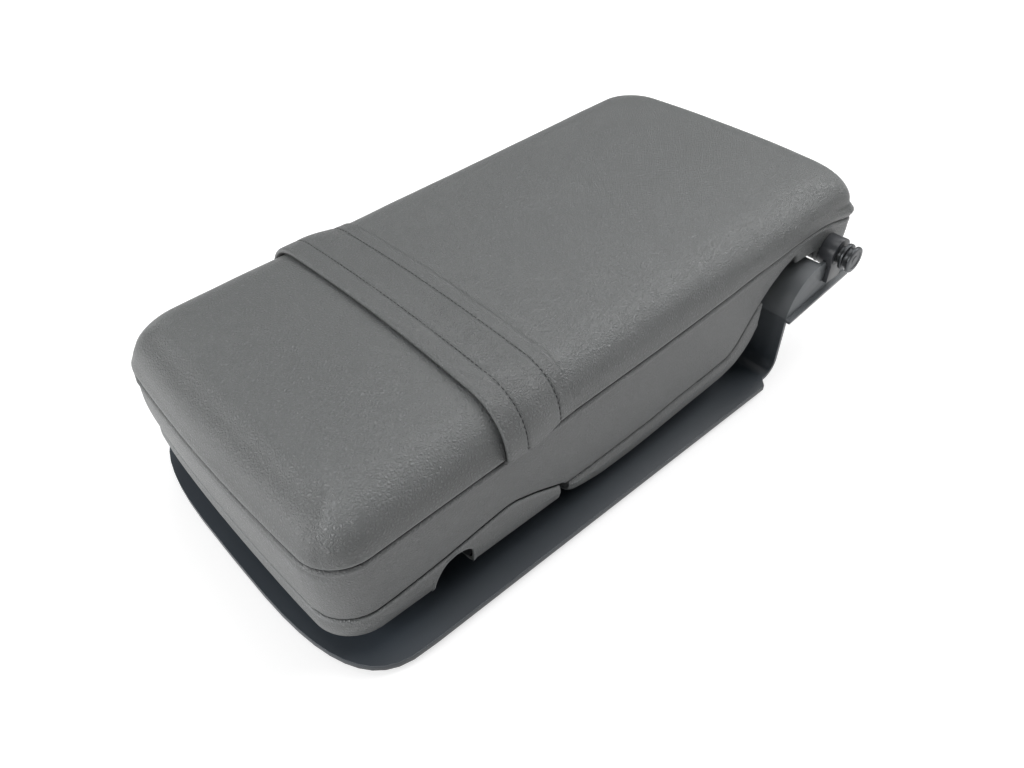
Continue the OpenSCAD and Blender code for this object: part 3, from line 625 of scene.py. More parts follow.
def softened(line, spacing, window):
    """A resampled line with its corners rounded by a sliding window."""
    line = along(line, spacing)
    half = max(1, int(round(window / spacing / 2)))
    weights = np.hanning(2 * half + 3)[1:-1]
    weights /= weights.sum()
    padded = np.concatenate([2 * line[0] - line[half:0:-1], line, 2 * line[-1] - line[-2:-half - 2:-1]])
    return np.stack([np.convolve(padded[:, k], weights, "valid") for k in range(line.shape[1])], 1)


def arc(cx, cy, r, a0, a1, n):
    """Points of an arc round a centre in n steps, by angles in degrees."""
    a = np.radians(np.linspace(a0, a1, n + 1))
    return np.stack([cx + r * np.cos(a), cy + r * np.sin(a)], 1)


# ---- outline and profiles


# Radii of the corners and of the bowed ends, how the corners change as the outline is drawn in, and the
# steps along each part of it
FRONT_R, REAR_R, FRONT_BOW, REAR_BOW = 25.0, 15.0, 1350.0, 1000.0
LEAST_R, CORNER_SHARE, FRONT_TIGHTER, REAR_WIDER = 6.0, 0.8, 0.1, 0.9
BOW_N, CORNER_N, SIDE_N, REAR_N, REAR_BOW_N = 26, 30, 150, 34, 30
HALF_N = BOW_N + CORNER_N + SIDE_N + REAR_N + REAR_BOW_N


def corner_r(r, hw):
    """A corner radius held between the least and a share of the half width."""
    return min(max(r, LEAST_R), CORNER_SHARE * hw)


def half_outline(d):
    """Right half of the plan outline drawn in by d, from the middle of the front to that of the rear."""
    hw = HALF_W - d
    rf, rr = corner_r(FRONT_R - FRONT_TIGHTER * d, hw), corner_r(REAR_R + REAR_WIDER * d, hw)
    bf, br = FRONT_BOW - d, REAR_BOW - d
    mf, mr = FRONT_Y + d + bf, REAR_Y - d - br
    cf = (hw - rf, mf - math.sqrt((bf - rf) ** 2 - (hw - rf) ** 2))
    cr = (hw - rr, mr + math.sqrt((br - rr) ** 2 - (hw - rr) ** 2))
    tf = math.degrees(math.atan2(cf[1] - mf, cf[0]))
    tr = math.degrees(math.atan2(cr[1] - mr, cr[0]))
    side = np.stack([np.full(SIDE_N + 1, hw), np.linspace(cf[1], cr[1], SIDE_N + 1)], 1)
    return np.concatenate([
        arc(0, mf, bf, -90, tf, BOW_N)[:-1], arc(*cf, rf, tf, 0, CORNER_N)[:-1], side[:-1],
        arc(*cr, rr, 0, tr, REAR_N)[:-1], arc(0, mr, br, tr, 90, REAR_BOW_N)])


def whole(half):
    """A closed ring from its right half, mirrored to the left."""
    return both_sides(half, half)


def both_sides(right, left):
    """A closed ring from its right half and the right-hand copy of its left half."""
    return np.concatenate([right, left[-2:0:-1] * ([-1, 1, 1][:right.shape[1]])])


def outline(d):
    """The whole plan outline drawn in by d."""
    return whole(half_outline(d))


def crown_rows(leather, round_n=26, mid_n=30, reach=69.0):
    """Rows of the crown as inset, height and normal, from the seam to the middle."""
    ci, ch, mid = leather.crown_in / MM, leather.crown_h / MM, leather.crown_mid / MM
    a = 90 * (np.linspace(0, 1, round_n + 1) ** 1.12)
    near = np.array([0.3, 0.6, 0.95, 1.4, 1.9, 2.5, 3.2, 4.0, 4.9]) / ch
    near = np.degrees(np.arcsin(near ** (leather.square / 2)))
    a = np.radians(np.concatenate([[0.0], near, a[a > near[-1] + 1.0]]))
    k = 2 / leather.square
    n = np.stack([-np.cos(a) ** (2 - k) / ci, np.sin(a) ** (2 - k) / ch], 1)
    n /= np.linalg.norm(n, axis=1)[:, None]
    round_part = np.column_stack([ci * (1 - np.cos(a) ** k), ch * np.sin(a) ** k, n])
    s = np.linspace(0, 1, mid_n + 1)[1:]
    rise = mid * (1 - (1 - s) ** 2)
    flat = np.column_stack([ci + s * reach, ch + rise, np.zeros(mid_n), np.ones(mid_n)])
    return np.concatenate([round_part, flat])


# Front of the elbow pad, hinge of the lid and foot of the slope up to the pivot, ahead of the base line
PAD_FRONT = LID_REAR - 8.0
LID_HINGE = BASE_Y - LID_AXIS[1]
FOOT = 106.0


def spread(points, front):
    """Profile points that share out the length between the foot of the armrest and a place ahead of it."""
    return [(FOOT + (front - FOOT) * p, h) for p, h in points]


# Lower edge of the boxing: along the lid, along the elbow pad, and round the pivot bush to the tail
LOWER_FRONT = [(FRONT_REACH - p, h) for p, h in (
    (-14.5, 34), (35.5, 34.3), (66.5, 37.2), (94.5, 41.2), (106.5, 43), (112.5, 43.5), (118.5, 43.2),
    (134.5, 38), (154.5, 29.7))] + [(LID_HINGE, 28.6)]
LOWER_PAD = spread([(1, 27), (0.85, 27), (0.7, 28), (0.52, 29), (0.35, 31.6), (0.125, 34.4)], LID_HINGE) + [
    (FOOT, 36.5), (98, 42), (90, 53), (80, 66), (70, 76), (58, 84.5), (45, 90.5), (43, 88), (43, 84),
    (41, 82.5)]
# Radius of the edge round the pivot bush, and height of the edge at the rear
BUSH_R, REAR_LOW = 11.0, 69.0
TAIL = np.concatenate([
    arc(-PIVOT_AHEAD, PIVOT_H, BUSH_R, 170, 330, 40) * [-1, 1], [(-24.5, REAR_LOW), (-40, REAR_LOW)]])


def height_at(line, ahead):
    """Height of a profile at distances ahead of the base line."""
    return np.interp(ahead, *line[np.argsort(line[:, 0])].T)


def lower_line():
    """Lower edge of the boxing as distance ahead and height, from the front to the rear."""
    front = softened(LOWER_FRONT, 0.5, 14.0)
    pad = softened(LOWER_PAD, 0.5, 9.0)
    joint = softened(np.concatenate([front[-8:], pad[:8]]), 0.4, 1.6)
    return np.concatenate([front[:-8], joint, pad[8:], TAIL])


def on_outline(u, values=None):
    """Values at fractional places u along the half outline, or its plan points there if none are given."""
    values = half_outline(0) if values is None else values
    return np.stack([np.interp(u, np.arange(len(values)), column) for column in values.T], 1)


# ---- leather pieces


# Rise of the sewn seam by distance ahead of the base line
SEAM_LIFT = np.array([
    (-40, -6.6), (-29.8, -6.2), (-22.5, -4.9), (-9.5, -1.8), (3.4, 1.7), (14, 3.4), (25, 4.2), (38, 4.6),
    (50, 4.4), (67, 3.6), (94, 3.2), (119, 1.8), (150, 0.8), (190, 0.0), (460, 0.0)])


def seam_lift(y):
    """How far the sewn seam rises or dips beside the straight line of the frame."""
    return np.interp(BASE_Y - y, *SEAM_LIFT.T)


def corner_turn(x, y):
    """Direction round the front corner: -90 at the front, 0 at the side."""
    return np.degrees(np.arctan2(y - (FRONT_Y + FRONT_R), np.maximum(np.abs(x) - (HALF_W - FRONT_R), 0.01)))


def front_end(x, y):
    """1 along the front edge and its corners, fading out along the sides."""
    return step(FRONT_Y + 62, FRONT_Y + 8, y) * step(-40, -64, corner_turn(x, y)) ** 0.5


def seam_gap(y):
    """How dark the painted shade in the main seam's gap is: less towards the rear."""
    return 1 - 0.6 * step(y_at(190), y_at(60), y)


def soft_corner(x, y):
    """1 at the left front corner and beside it, where the seam is a soft ridge with little painted shade in
    its gap and no painted highlight on its edge.
    """
    return step(FRONT_Y + 90, FRONT_Y + 50, y) * step(75, 15, x)


def drawn_in(x, y, h):
    """How far the upholstery below the seam is pulled in round the front, most at its left corner."""
    ahead = step(FRONT_Y + 70, FRONT_Y + 12, y)
    return step(62, 18, h) * ahead * (0.3 + 1.0 * step(95, 10, x) + 1.0 * step(-60, -105, x))


# Thickness of the crown's and the boxing's leather, the height over which the seam's rise fades out, and
# the rings of the boxing by their distance below the seam
COVER_T, BOXING_T = 2.4, 2.9
LIFT_FADE = 26.0
SEAM_GAPS = (7.0, 6.2, 5.4, 4.6, 3.8, 3.1, 2.5, 1.9, 1.4, 0.95, 0.6, 0.3, 0.0)
# Roll of the boxing's lower edge, how much larger it gets under the tail, and the most share of the height
ROLL, TAIL_ROLL, ROLL_SHARE = 2.6, 7.4, 0.45
# Middle and width of the relief beside the seam: its tuck, the welt at the rear with the dip above it, and
# the ridge and hollow round the front (the hollow by its inset)
TUCK, WELT, WELT_FOOT = (-0.2, 0.8), (4.2, 2.4), (9.5, 2.2)
RIDGE, HOLLOW = (4.6, 2.8), (13.0, 6.0)


def crown_surface(leather, seed):
    """Rows of the crown, its outer rings in relief, and how much painted shade and painted highlight each
    point takes.
    """
    rows = crown_rows(leather)
    bead, tuck, welt = leather.bead / MM, leather.seam_depth / MM, leather.welt / MM
    rings, creases, painted_lights = [], [], []
    for inset, h, nx, nz in rows:
        p = outline(inset)
        x, y = p.T
        rear, front, gapless = step(y_at(14), y_at(-12), y), front_end(x, y), soft_corner(x, y)
        out = -tuck * bell(h, *TUCK) + bead * bell(h, 2.6, 1.5)
        out = out + welt * rear * bell(h, *WELT) - 0.9 * rear * bell(h, *WELT_FOOT)
        out = out + 1.0 * front * bell(h, *RIDGE) - 1.5 * front * bell(inset, *HOLLOW)
        # Gathers in the front corners, and slow waves
        corner = bell(np.abs(x), HALF_W - 12, 20) * bell(y, FRONT_Y + 12, 20)
        turn = np.radians(corner_turn(x, y))
        gather = np.sin(turn * 9.0) + 0.6 * np.sin(turn * 17.0 + 1.0)
        out = out + 0.16 * corner * gather * step(1.0, 5, h) * step(22, 9, h)
        out = out + waves(x, y, leather.waves / MM, seed) * step(2, 12, h)
        # Painted shade in the seam's gap, under the welt, in the hollow, and down the front right slope
        crease = 1.3 * bell(h, 0.0, 0.6) * (1 - 0.75 * gapless) * seam_gap(y)
        crease = crease + 0.35 * rear * bell(h, 8.6, 1.0)
        crease = crease + 0.16 * front * bell(inset, 11.0, 6.0)
        crease = crease + 0.2 * bell(h, 9.0, 6.0) * step(y_at(230), y_at(320), y) * step(-20, 30, x)
        inward = outline(inset + 0.5) - p
        inward /= np.maximum(np.linalg.norm(inward, axis=1), 1e-9)[:, None]
        q = p - inward * (out * -nx)[:, None]
        rings.append(np.column_stack([q, seam_z(y) + h + seam_lift(y) * step(LIFT_FADE, 0, h) + out * nz]))
        creases.append(np.clip(crease, 0, 1))
        # Painted highlight on the seam's edge and on the shoulders along the sides and the rear
        painted_lights.append(bell(h, 1.5, 0.45) * (1 - gapless) + 0.32 * bell(h, 23.0, 6.0) * (1 - front))
    return rows, rings, creases, painted_lights


def crown_shell(leather, seed, name):
    """Closed shell of the crowned top, before it is split."""
    rows, outer, creases, painted_lights = crown_surface(leather, seed)
    inner = []
    for inset, h, nx, nz in rows[::4]:
        p = outline(inset + COVER_T * -nx)
        lift = seam_lift(p[:, 1]) * step(LIFT_FADE, 0, h)
        inner.append(np.column_stack([p, seam_z(p[:, 1]) + lift + max(h - COVER_T * nz, 0.0)]))
    # The hidden inside gets full painted shade and no painted highlight
    hidden = np.ones(sum(map(len, inner)))
    return mark(shell(name, inner[::-1] + outer, "strips"), crease=np.concatenate([hidden] + creases),
                rub=np.concatenate([hidden * 0] + painted_lights))


def boxing_columns():
    """Right half of the boxing: places along the outline at its seam and at its lower edge, and that edge's
    height."""
    ahead = BASE_Y - half_outline(0)[:, 1]
    index = np.arange(len(ahead))
    front, rear = index[:BOW_N], index[HALF_N - REAR_BOW_N:]
    line = lower_line()
    low_front = height_at(line, ahead[:BOW_N + 1])
    shown = line[line[:, 0] <= ahead[BOW_N] + 1e-6]
    shown = along(np.concatenate([[[ahead[BOW_N], low_front[-1]]], shown]), 2.0)
    shown = shown[shown[:, 0] > ahead[rear[0]] + 0.5]
    u_low = np.interp(-shown[:, 0], -ahead, index)
    u_top = np.maximum.accumulate(u_low + np.arange(len(u_low)) * 1e-4)
    h = np.concatenate([low_front[:-1], shown[:, 1], np.full(len(rear), REAR_LOW)])
    return np.concatenate([front, u_top, rear]), np.concatenate([front, u_low, rear]), h


def leather_boxing(leather, seed):
    """Leather boxing between the seam and its shaped lower edge, and how much painted shade each point
    takes.
    """
    u_top, u_low, h_low = boxing_columns()
    x_top, y_top = on_outline(u_top).T
    ahead_low = BASE_Y - on_outline(u_low)[:, 1]
    h_top = seam_z(y_top) + seam_lift(y_top) - PANEL_TOP
    tall = h_top - h_low
    roll = np.minimum(ROLL + TAIL_ROLL * step(-14, -26, ahead_low), tall * ROLL_SHARE)
    low = h_low + roll
    high = np.maximum(h_top - low, 1.0)
    bead, tuck, puff = leather.bead / MM, leather.seam_depth / MM, leather.puff / MM
    front = front_end(x_top, y_top)

    def seam_side(gap):
        ridge = front * (1.1 * bell(gap, 2.2, 1.5) - 0.8 * bell(gap, 5.4, 1.5))
        return -tuck * bell(gap, *TUCK) + bead * 1.2 * bell(gap, 2.2, 1.2) * (1 - front) + ridge

    # Painted shade in the seam's gap and in the fold below the front ridge
    def seam_painted_shade(gap):
        return 1.3 * bell(gap, 0.0, 0.5) * seam_gap(y_top) + 0.30 * front * bell(gap, 5.2, 1.1)

    # Rings as place along the outline, inset, height and painted shade: the rolled lower edge, the side,
    # the seam
    rings = [(u_low, roll * (1 - np.sin(a)), h_low + roll * (1 - np.cos(a)),
              np.full(len(tall), 0.5 * bell(a, 0.0, 0.35))) for a in np.radians(np.arange(0, 91, 15))]
    side = [low + (h_top - SEAM_GAPS[0] - low) * v ** 0.9 for v in np.linspace(0, 1, 23)[1:-1]]
    for k, h in enumerate(side + [h_top - gap for gap in SEAM_GAPS]):
        share = (h - low) / high
        held = np.clip(share, 0, 1)
        out = puff * np.sin(math.pi * held) ** 0.8 * np.clip(tall / 40, 0.25, 1.0) + seam_side(h_top - h)
        u = u_low + (u_top - u_low) * (share if k < len(side) else held)
        rings.append((u, -out, h, seam_painted_shade(h_top - h)))
    dull = [1 - 0.75 * soft_corner(s * x_top, y_top) for s in (1, -1)]
    points, creases = [], []
    for u, inset, h, crease in rings:
        p = plan_offset(u, inset)
        wave = waves(p[:, 0] + h, p[:, 1], leather.waves / MM * 0.8, seed + 1)
        calm = inset - wave * step(0, 8, h - h_low) * step(0, 8, h_top - h)
        right, left = (plan_offset(u, calm + drawn_in(s * p[:, 0], p[:, 1], h)) for s in (1, -1))
        points.append(np.column_stack([both_sides(right, left), z_at(np.r_[h, h[-2:0:-1]])]))
        creases.append(np.clip(np.r_[crease * dull[0], (crease * dull[1])[-2:0:-1]], 0, 1))
    # The hidden side, with full painted shade
    wall = np.full(len(u_top), BOXING_T)
    thin = np.where(ahead_low < -10, 0.5, 2.0)
    for u, inset, h in ((u_top, wall, h_top), (0.5 * (u_top + u_low), wall, (low + h_top) / 2 + 1),
                        (u_low, wall, low + 1.0), (u_low, np.maximum(roll, BOXING_T), h_low + thin)):
        points.append(whole(np.column_stack([plan_offset(u, inset), z_at(h)])))
        creases.append(np.ones(len(points[-1])))
    return mark(shell("leather_boxing", points, "loop", LEATHER_SHARP), crease=np.concatenate(creases))


def plan_offset(u, inset):
    """Plan points at places u, each drawn in by its own inset."""
    run = np.gradient(half_outline(0), axis=0)
    run[0], run[-1] = (1, 0), (-1, 0)
    t = on_outline(u, run)
    t /= np.linalg.norm(t, axis=1)[:, None]
    q = on_outline(u) + np.stack([-t[:, 1], t[:, 0]], 1) * np.asarray(inset)[:, None]
    q[[0, -1], 0] = 0.0
    return q


# Height of the band's underside, how far its ends are tucked in, the height of the thread above it and how
# far above the seam the rows end, and the steps round its free edge
BAND_UNDER, BAND_TUCK, THREAD_RISE, ROW_END, NOSE_N = 0.3, 1.3, 0.12, 0.8, 14


def band_section(band):
    """Section of the pull band as distance behind its free edge and thickness."""
    edge, sewn = band.edge / MM, band.sewn_edge / MM
    front, rear = band.row_front / MM, band.row_rear / MM
    r = (edge - BAND_UNDER) / 2
    nose = arc(r, BAND_UNDER + r, r, 262, 90, NOSE_N)
    stops = ((r, front - 3, 6), (front - 3, front + 3, 19), (front + 3, rear - 3, 14),
             (rear - 3, rear + 3, 19), (rear + 3, BAND_W - 1.2, 8))
    back = np.concatenate([np.linspace(*stop)[1:] for stop in stops])
    fall = edge + (sewn - edge) * step(14, BAND_W - 2, back)
    swell = 0.35 * np.sin(math.pi * np.clip((back - front) / (rear - front), 0, 1))
    top = fall + swell - 0.5 * (bell(back, front, 0.9) + bell(back, rear, 0.9))
    tail = [(BAND_W - 0.6, sewn * 0.86), (BAND_W - 0.1, sewn * 0.55), (BAND_W, BAND_UNDER)]
    under = [(rear, BAND_UNDER), (front, BAND_UNDER), (r * 1.2, BAND_UNDER)]
    return np.concatenate([nose, np.column_stack([back, top]), tail, under])


def band_stations(leather):
    """Stations of the band over the crown: x, height above the seam and normal."""
    rows = crown_rows(leather, 44, 30, HALF_W - leather.crown_in / MM)
    right = np.column_stack([HALF_W - rows[:, 0], rows[:, 1], -rows[:, 2], rows[:, 3]])
    left = right[-2::-1] * [-1, 1, -1, 1]
    return np.concatenate([right, left])


def band_point(station, behind, t):
    """A point of the band at a station of the crown, a distance behind the free edge and a thickness."""
    x, h, nx, nz = station
    end = 1 - step(0.0, 2.2, h)
    t = t * (1 - 0.55 * end)
    y = y_at(BAND_FRONT - behind)
    return x + nx * (t - BAND_TUCK * end), y, seam_z(y) + h + nz * t


def leather_band(leather, band, seed):
    """Pull band over the crown, slightly rippled, and shaded under its free edge."""
    section = band_section(band)
    phase = np.random.default_rng(seed).uniform(0, 6.28, 6)
    rings = []
    for s in band_stations(leather):
        x = s[0]
        ripple = 0.10 * math.sin(x / 9.0 + phase[0]) + 0.08 * math.sin(x / 3.9 + phase[1])
        points = []
        for behind, t in section:
            rise = ripple * step(2.0, 4.0, t) * (0.6 + 0.4 * math.sin(behind / 7.0 + phase[2]))
            shift = 0.25 * math.sin(x / 31.0 + phase[3]) * step(6, 0, behind)
            points.append(band_point(s, behind + shift, t + rise))
        rings.append(points)
    nose = section[:NOSE_N, 1].max()
    shaded = step(0.62, 0.30, section[:, 1] / max(nose, 1)) * (section[:, 0] < 6)
    return mark(shell("leather_pull_band", rings, sharp=LEATHER_SHARP), crease=np.tile(shaded, len(rings)))


# ---- repeated pieces


def stitch_tree():
    """Geometry Nodes: stitches of even pitch along the mesh line that they are given."""
    tree = bpy.data.node_groups.new("stitch_row", "GeometryNodeTree")
    tree.interface.new_socket(name="Line", in_out="INPUT", socket_type="NodeSocketGeometry")
    names = {}
    for name, kind in (("Pitch", "Float"), ("Length", "Float"), ("Thickness", "Float"), ("Seed", "Int"),
                       ("Material", "Material")):
        socket = tree.interface.new_socket(name=name, in_out="INPUT", socket_type="NodeSocket" + kind)
        names[name] = socket.identifier
    tree.interface.new_socket(name="Stitches", in_out="OUTPUT", socket_type="NodeSocketGeometry")
    given, result = tree.nodes.new("NodeGroupInput"), tree.nodes.new("NodeGroupOutput")

    def add(kind, settings=None, inputs=None, out=0):
        return add_node(tree, kind, settings, inputs, out)

    def value(name):
        return Wire(tree, given.outputs[name])

    curve = add("GeometryNodeMeshToCurve", None, {"Mesh": value("Line")})
    points = add("GeometryNodeResampleCurve", {"mode": "LENGTH"},
                 {"Curve": curve, "Length": value("Pitch")})
    turn = add("FunctionNodeAlignRotationToVector", {"axis": "Z"},
               {"Vector": add("GeometryNodeInputTangent")})
    ball = add("GeometryNodeMeshUVSphere", None, {"Segments": 8, "Rings": 6, "Radius": 0.5})
    uneven = add("FunctionNodeRandomValue", {"data_type": "FLOAT"},
                 {2: 0.9, 3: 1.06, "Seed": value("Seed")}, 1)
    long = add("ShaderNodeMath", {"operation": "MULTIPLY"}, {0: value("Length"), 1: uneven})
    size = add("ShaderNodeCombineXYZ", None, {"X": value("Thickness"), "Y": value("Thickness"), "Z": long})
    stitches = add("GeometryNodeInstanceOnPoints", None,
                   {"Points": points, "Instance": ball, "Rotation": turn, "Scale": size})
    solid = add("GeometryNodeRealizeInstances", None, {0: stitches})
    solid = add("GeometryNodeSetShadeSmooth", None, {0: solid})
    painted = add("GeometryNodeSetMaterial", None, {"Geometry": solid, "Material": value("Material")})
    tree.links.new(painted.socket, result.inputs[0])
    return tree, names


def run_tree(obj, tree, names, values):
    """Puts a tree on an object, sets its inputs by identifier, and turns the result into plain mesh."""
    tool = obj.modifiers.new("nodes", "NODES")
    tool.node_group = tree
    for key, value in values.items():
        tool[names[key]] = value
    return plain(obj)


def line_object(name, lines):
    """Edges along open lines, in millimetres."""
    points, edges = [], []
    for line in lines:
        edges += [(i, i + 1) for i in range(len(points), len(points) + len(line) - 1)]
        points += [tuple(np.asarray(p) * MM) for p in line]
    mesh = bpy.data.meshes.new(name)
    mesh.from_pydata(points, edges, [])
    return linked(name, mesh)


# ---- lid, pad


# Height of the lid's underside, its rounded edge, its leather's thickness and rolled top edge, the gap
# under the boxing, and how far its side swells
LID_FLOOR, LID_R, LID_T, LID_ROLL, LID_GAP, LID_PUFF = 15.0, 7.0, 2.2, 1.3, 0.9, 0.6


def lid_leather():
    """Leather of the lid: flat underside, rounded edge, side up to the boxing and a rolled top edge."""
    r, wall, roll = LID_R, LID_T, LID_ROLL
    top = height_at(softened(LOWER_FRONT, 0.5, 14.0), BASE_Y - outline(0)[:, 1]) - LID_GAP
    low = LID_FLOOR + r
    rings, creases, painted_lights = [], [], []

    def add(d, h, crease=0.0, rub=0.0):
        p = outline(d)
        h = np.broadcast_to(h, (len(p),))
        inward = outline(d + 0.5) - p
        p = p + inward / 0.5 * drawn_in(p[:, 0], p[:, 1], h)[:, None]
        rings.append(np.column_stack([p, z_at(h)]))
        creases.append(np.full(len(p), float(crease)))
        painted_lights.append(np.full(len(p), float(rub)))

    for d in (60.0, 30.0, 16.0):
        add(d, LID_FLOOR)
    for a in np.radians(np.linspace(0, 90, 9)):
        add(r * (1 - math.sin(a)), LID_FLOOR + r * (1 - math.cos(a)))
    # The side, with a painted highlight towards its top
    for v in np.linspace(0, 1, 12)[1:]:
        add(-LID_PUFF * math.sin(math.pi * v) ** 0.8, low + (top - roll - low) * v, 0.0,
            0.5 * step(0.88, 1.0, v))
    # The rolled top edge, with a painted highlight on its round and painted shade under it
    for a in np.radians([30, 60, 90, 120, 150, 180]):
        add(1.1 - 1.1 * math.cos(a), top - roll + roll * math.sin(a), step(1.4, 2.4, a) * 0.9,
            0.8 * bell(a, 0.9, 0.6))
    # The hidden side, with full painted shade
    add(wall, low + 1.5, 1.0)
    for a in np.radians([90, 60, 30, 0]):
        add(wall + (r - wall) * (1 - math.sin(a)), LID_FLOOR + wall + (r - wall) * (1 - math.cos(a)), 1.0)
    add(60.0, LID_FLOOR + wall, 1.0)
    obj = mark(shell("leather_lid", rings, "strips", LEATHER_SHARP), crease=np.concatenate(creases),
               rub=np.concatenate(painted_lights))
    return keep_side(obj, y_at(LID_REAR), False, LEATHER_SHARP)


# Rear end, length, height and depth of the finger notch, and its form as shares of length and height
NOTCH_REAR, NOTCH_L, NOTCH_H, NOTCH_DEPTH = 327.2, 28.9, 20.7, 15.8
NOTCH_SHAPE = ((1, -0.6), (1, 0), (0.985, 0.18), (0.95, 0.38), (0.87, 0.6), (0.76, 0.8), (0.62, 0.94),
               (0.42, 1), (0.25, 0.96), (0.12, 0.88), (0.03, 0.76), (0, 0.6), (0, 0), (0, -0.6))


def notch_line(least):
    """Outline of the finger notch as distance ahead and height, from a height up."""
    line = softened([(NOTCH_REAR + p * NOTCH_L, LID_FLOOR + q * NOTCH_H) for p, q in NOTCH_SHAPE], 0.5, 3.0)
    return line[line[:, 1] >= least]


def notch_cutter():
    """What the finger notch takes out of the lid's leather."""
    sides = (HALF_W - NOTCH_DEPTH, HALF_W + 8)
    return shell("notch_cutter", [[(x, y_at(a), z_at(h)) for a, h in notch_line(2.0)] for x in sides])


def notch_bead():
    """Turned-in edge of the leather round the finger notch, thinner and further in towards its ends."""
    ahead, h = notch_line(16.2).T
    end = step(21, 16, h)
    path = np.column_stack([HALF_W - 0.35 - 1.2 * end, y_at(ahead), z_at(h)])
    run = np.gradient(path, axis=0)
    run /= np.linalg.norm(run, axis=1)[:, None]
    out = np.cross(run, [1.0, 0.0, 0.0])
    turn = np.linspace(0, 2 * math.pi, 13)[:-1]
    rings = [[p + k * (0.95 * math.cos(t) * o + 0.85 * math.sin(t) * np.array([1.0, 0, 0])) for t in turn]
             for p, o, k in zip(path, out, 0.2 + 0.8 * step(16, 21, h))]
    count = sum(map(len, rings))
    # Painted highlight all along the bead
    return mark(shell("notch_bead", rings, sharp=60.0), crease=np.zeros(count), rub=np.full(count, 0.35))


# Rounded edge of the elbow pad, its gap under the boxing and over the carrier, its highest top, and how far
# its sides and its underside swell; then its underside, and the room that the carrier takes in it
PAD_EDGE, PAD_GAP, PAD_TOP, PAD_SIDE_PUFF, PAD_PUFF = 10.0, 0.6, 66.0, 0.8, 0.9
PAD_FLOOR = (
    [(PAD_FRONT, 17), (PAD_FRONT - 1, 13.5), (PAD_FRONT - 4.5, 11.4), (PAD_FRONT - 14.5, 9)]
    + spread([(0.8, 7), (0.61, 7), (0.45, 8.7), (0.25, 11.5), (0.08, 13.4)], PAD_FRONT)
    + [(FOOT, 14.6), (94, 18), (86, 23), (79, 31), (74.5, 40)])
PAD_ROOM = np.array([(PAD_FRONT - 0.5, 24), (FOOT + 2, 27), (96, 30), (84, 46), (74, 66), (60, 79)])


def elbow_pad(seed):
    """Padded leather block under the arm, in sections along the armrest."""
    floor = along(softened(PAD_FLOOR, 1.0, 8.0), 2.4)
    lower = lower_line()
    lower = lower[lower[:, 0] > 44]
    rings = []
    for k, (ahead, h) in enumerate(floor):
        top = min(height_at(lower, ahead) - PAD_GAP, PAD_TOP)
        inner = min(max(height_at(PAD_ROOM, ahead) - PAD_GAP, h + 2.0), top - 0.4)
        ease = math.sin(min(1.0, min(k, len(floor) - 1 - k) / 3.0) * math.pi / 2)
        r = min(PAD_EDGE, top - h - 2.0)
        flat = HALF_W - r
        cap = [(HALF_W - 2.8, top), (HALF_W - 1.6, top + 0.05), (HALF_W - 0.5, top - 0.4)]
        side = [(HALF_W + PAD_SIDE_PUFF * math.sin(math.pi * v) * ease - 0.5 * (1 - ease),
                 h + r + (top - 1.2 - h - r) * v) for v in np.linspace(1, 0, 9)]
        turn = [(flat + r * math.cos(t), h + r - r * math.sin(t))
                for t in np.radians(np.linspace(0, 90, 9))[1:]]
        under = [(x, h - PAD_PUFF * ease * math.sin(math.pi * (flat - x) / (2 * flat)) ** 0.7)
                 for x in np.linspace(flat, 0, 12)[1:]]
        right = np.array(cap + side + turn + under)
        hollow = [(x, max(inner, h + 1.0)) for x in (-HALF_W + 2.9, -40, 40, HALF_W - 2.9)]
        x, z = np.concatenate([right, right[-2::-1] * [-1, 1], hollow]).T
        y = np.full(len(x), y_at(ahead))
        z = z - np.where(z < h + 3, waves(x * 0.8 + z, y, 0.25, seed + 3) * ease, 0)
        rings.append(np.column_stack([x, y, z_at(z)]))
    return shell("elbow_cushion", rings, sharp=LEATHER_SHARP)


# ---- operators


class ArmrestOperator:
    """What every step of the armrest shares."""

    bl_options = {"REGISTER", "UNDO"}


class ARMREST_OT_top(ArmrestOperator, bpy.types.Operator):
    """Build the crowned leather top in two covers"""

    bl_idname = "armrest.top"
    bl_label = "Leather top"

    def execute(self, context):
        s = context.scene.armrest
        for name, node, y, behind in (
                ("leather_top_front", "top_cover_front", y_at(COVER_SPLIT + COVER_GAP / 2), False),
                ("leather_top_rear", "top_cover_rear", y_at(COVER_SPLIT - COVER_GAP / 2), True)):
            obj = keep_side(crown_shell(s.leather, s.stage.seed, name), y, behind)
            dressed(obj, "leather_top", "armrest", "leather_top", node)
        return {"FINISHED"}


class ARMREST_OT_band(ArmrestOperator, bpy.types.Operator):
    """Build the pull band and its two rows of stitches"""

    bl_idname = "armrest.band"
    bl_label = "Pull band"

    def execute(self, context):
        s = context.scene.armrest
        obj = leather_band(s.leather, s.band, s.stage.seed)
        dressed(obj, "leather_top", "armrest", "leather_top", "pull_band")
        top = band_section(s.band)[:-6]
        rows = []
        for behind in (s.band.row_front / MM, s.band.row_rear / MM):
            t = top[np.argmin(np.abs(top[:, 0] - behind)), 1] + THREAD_RISE
            rows.append([band_point(st, behind, t) for st in band_stations(s.leather) if st[1] > ROW_END])
        stitches = line_object("band_stitches", rows)
        run_tree(stitches, *stitch_tree(), {
            "Pitch": s.band.pitch, "Length": s.band.stitch, "Thickness": s.band.thread, "Seed": 3,
            "Material": material("thread")})
        dressed(stitches, "thread", "armrest", "leather_top")
        return {"FINISHED"}


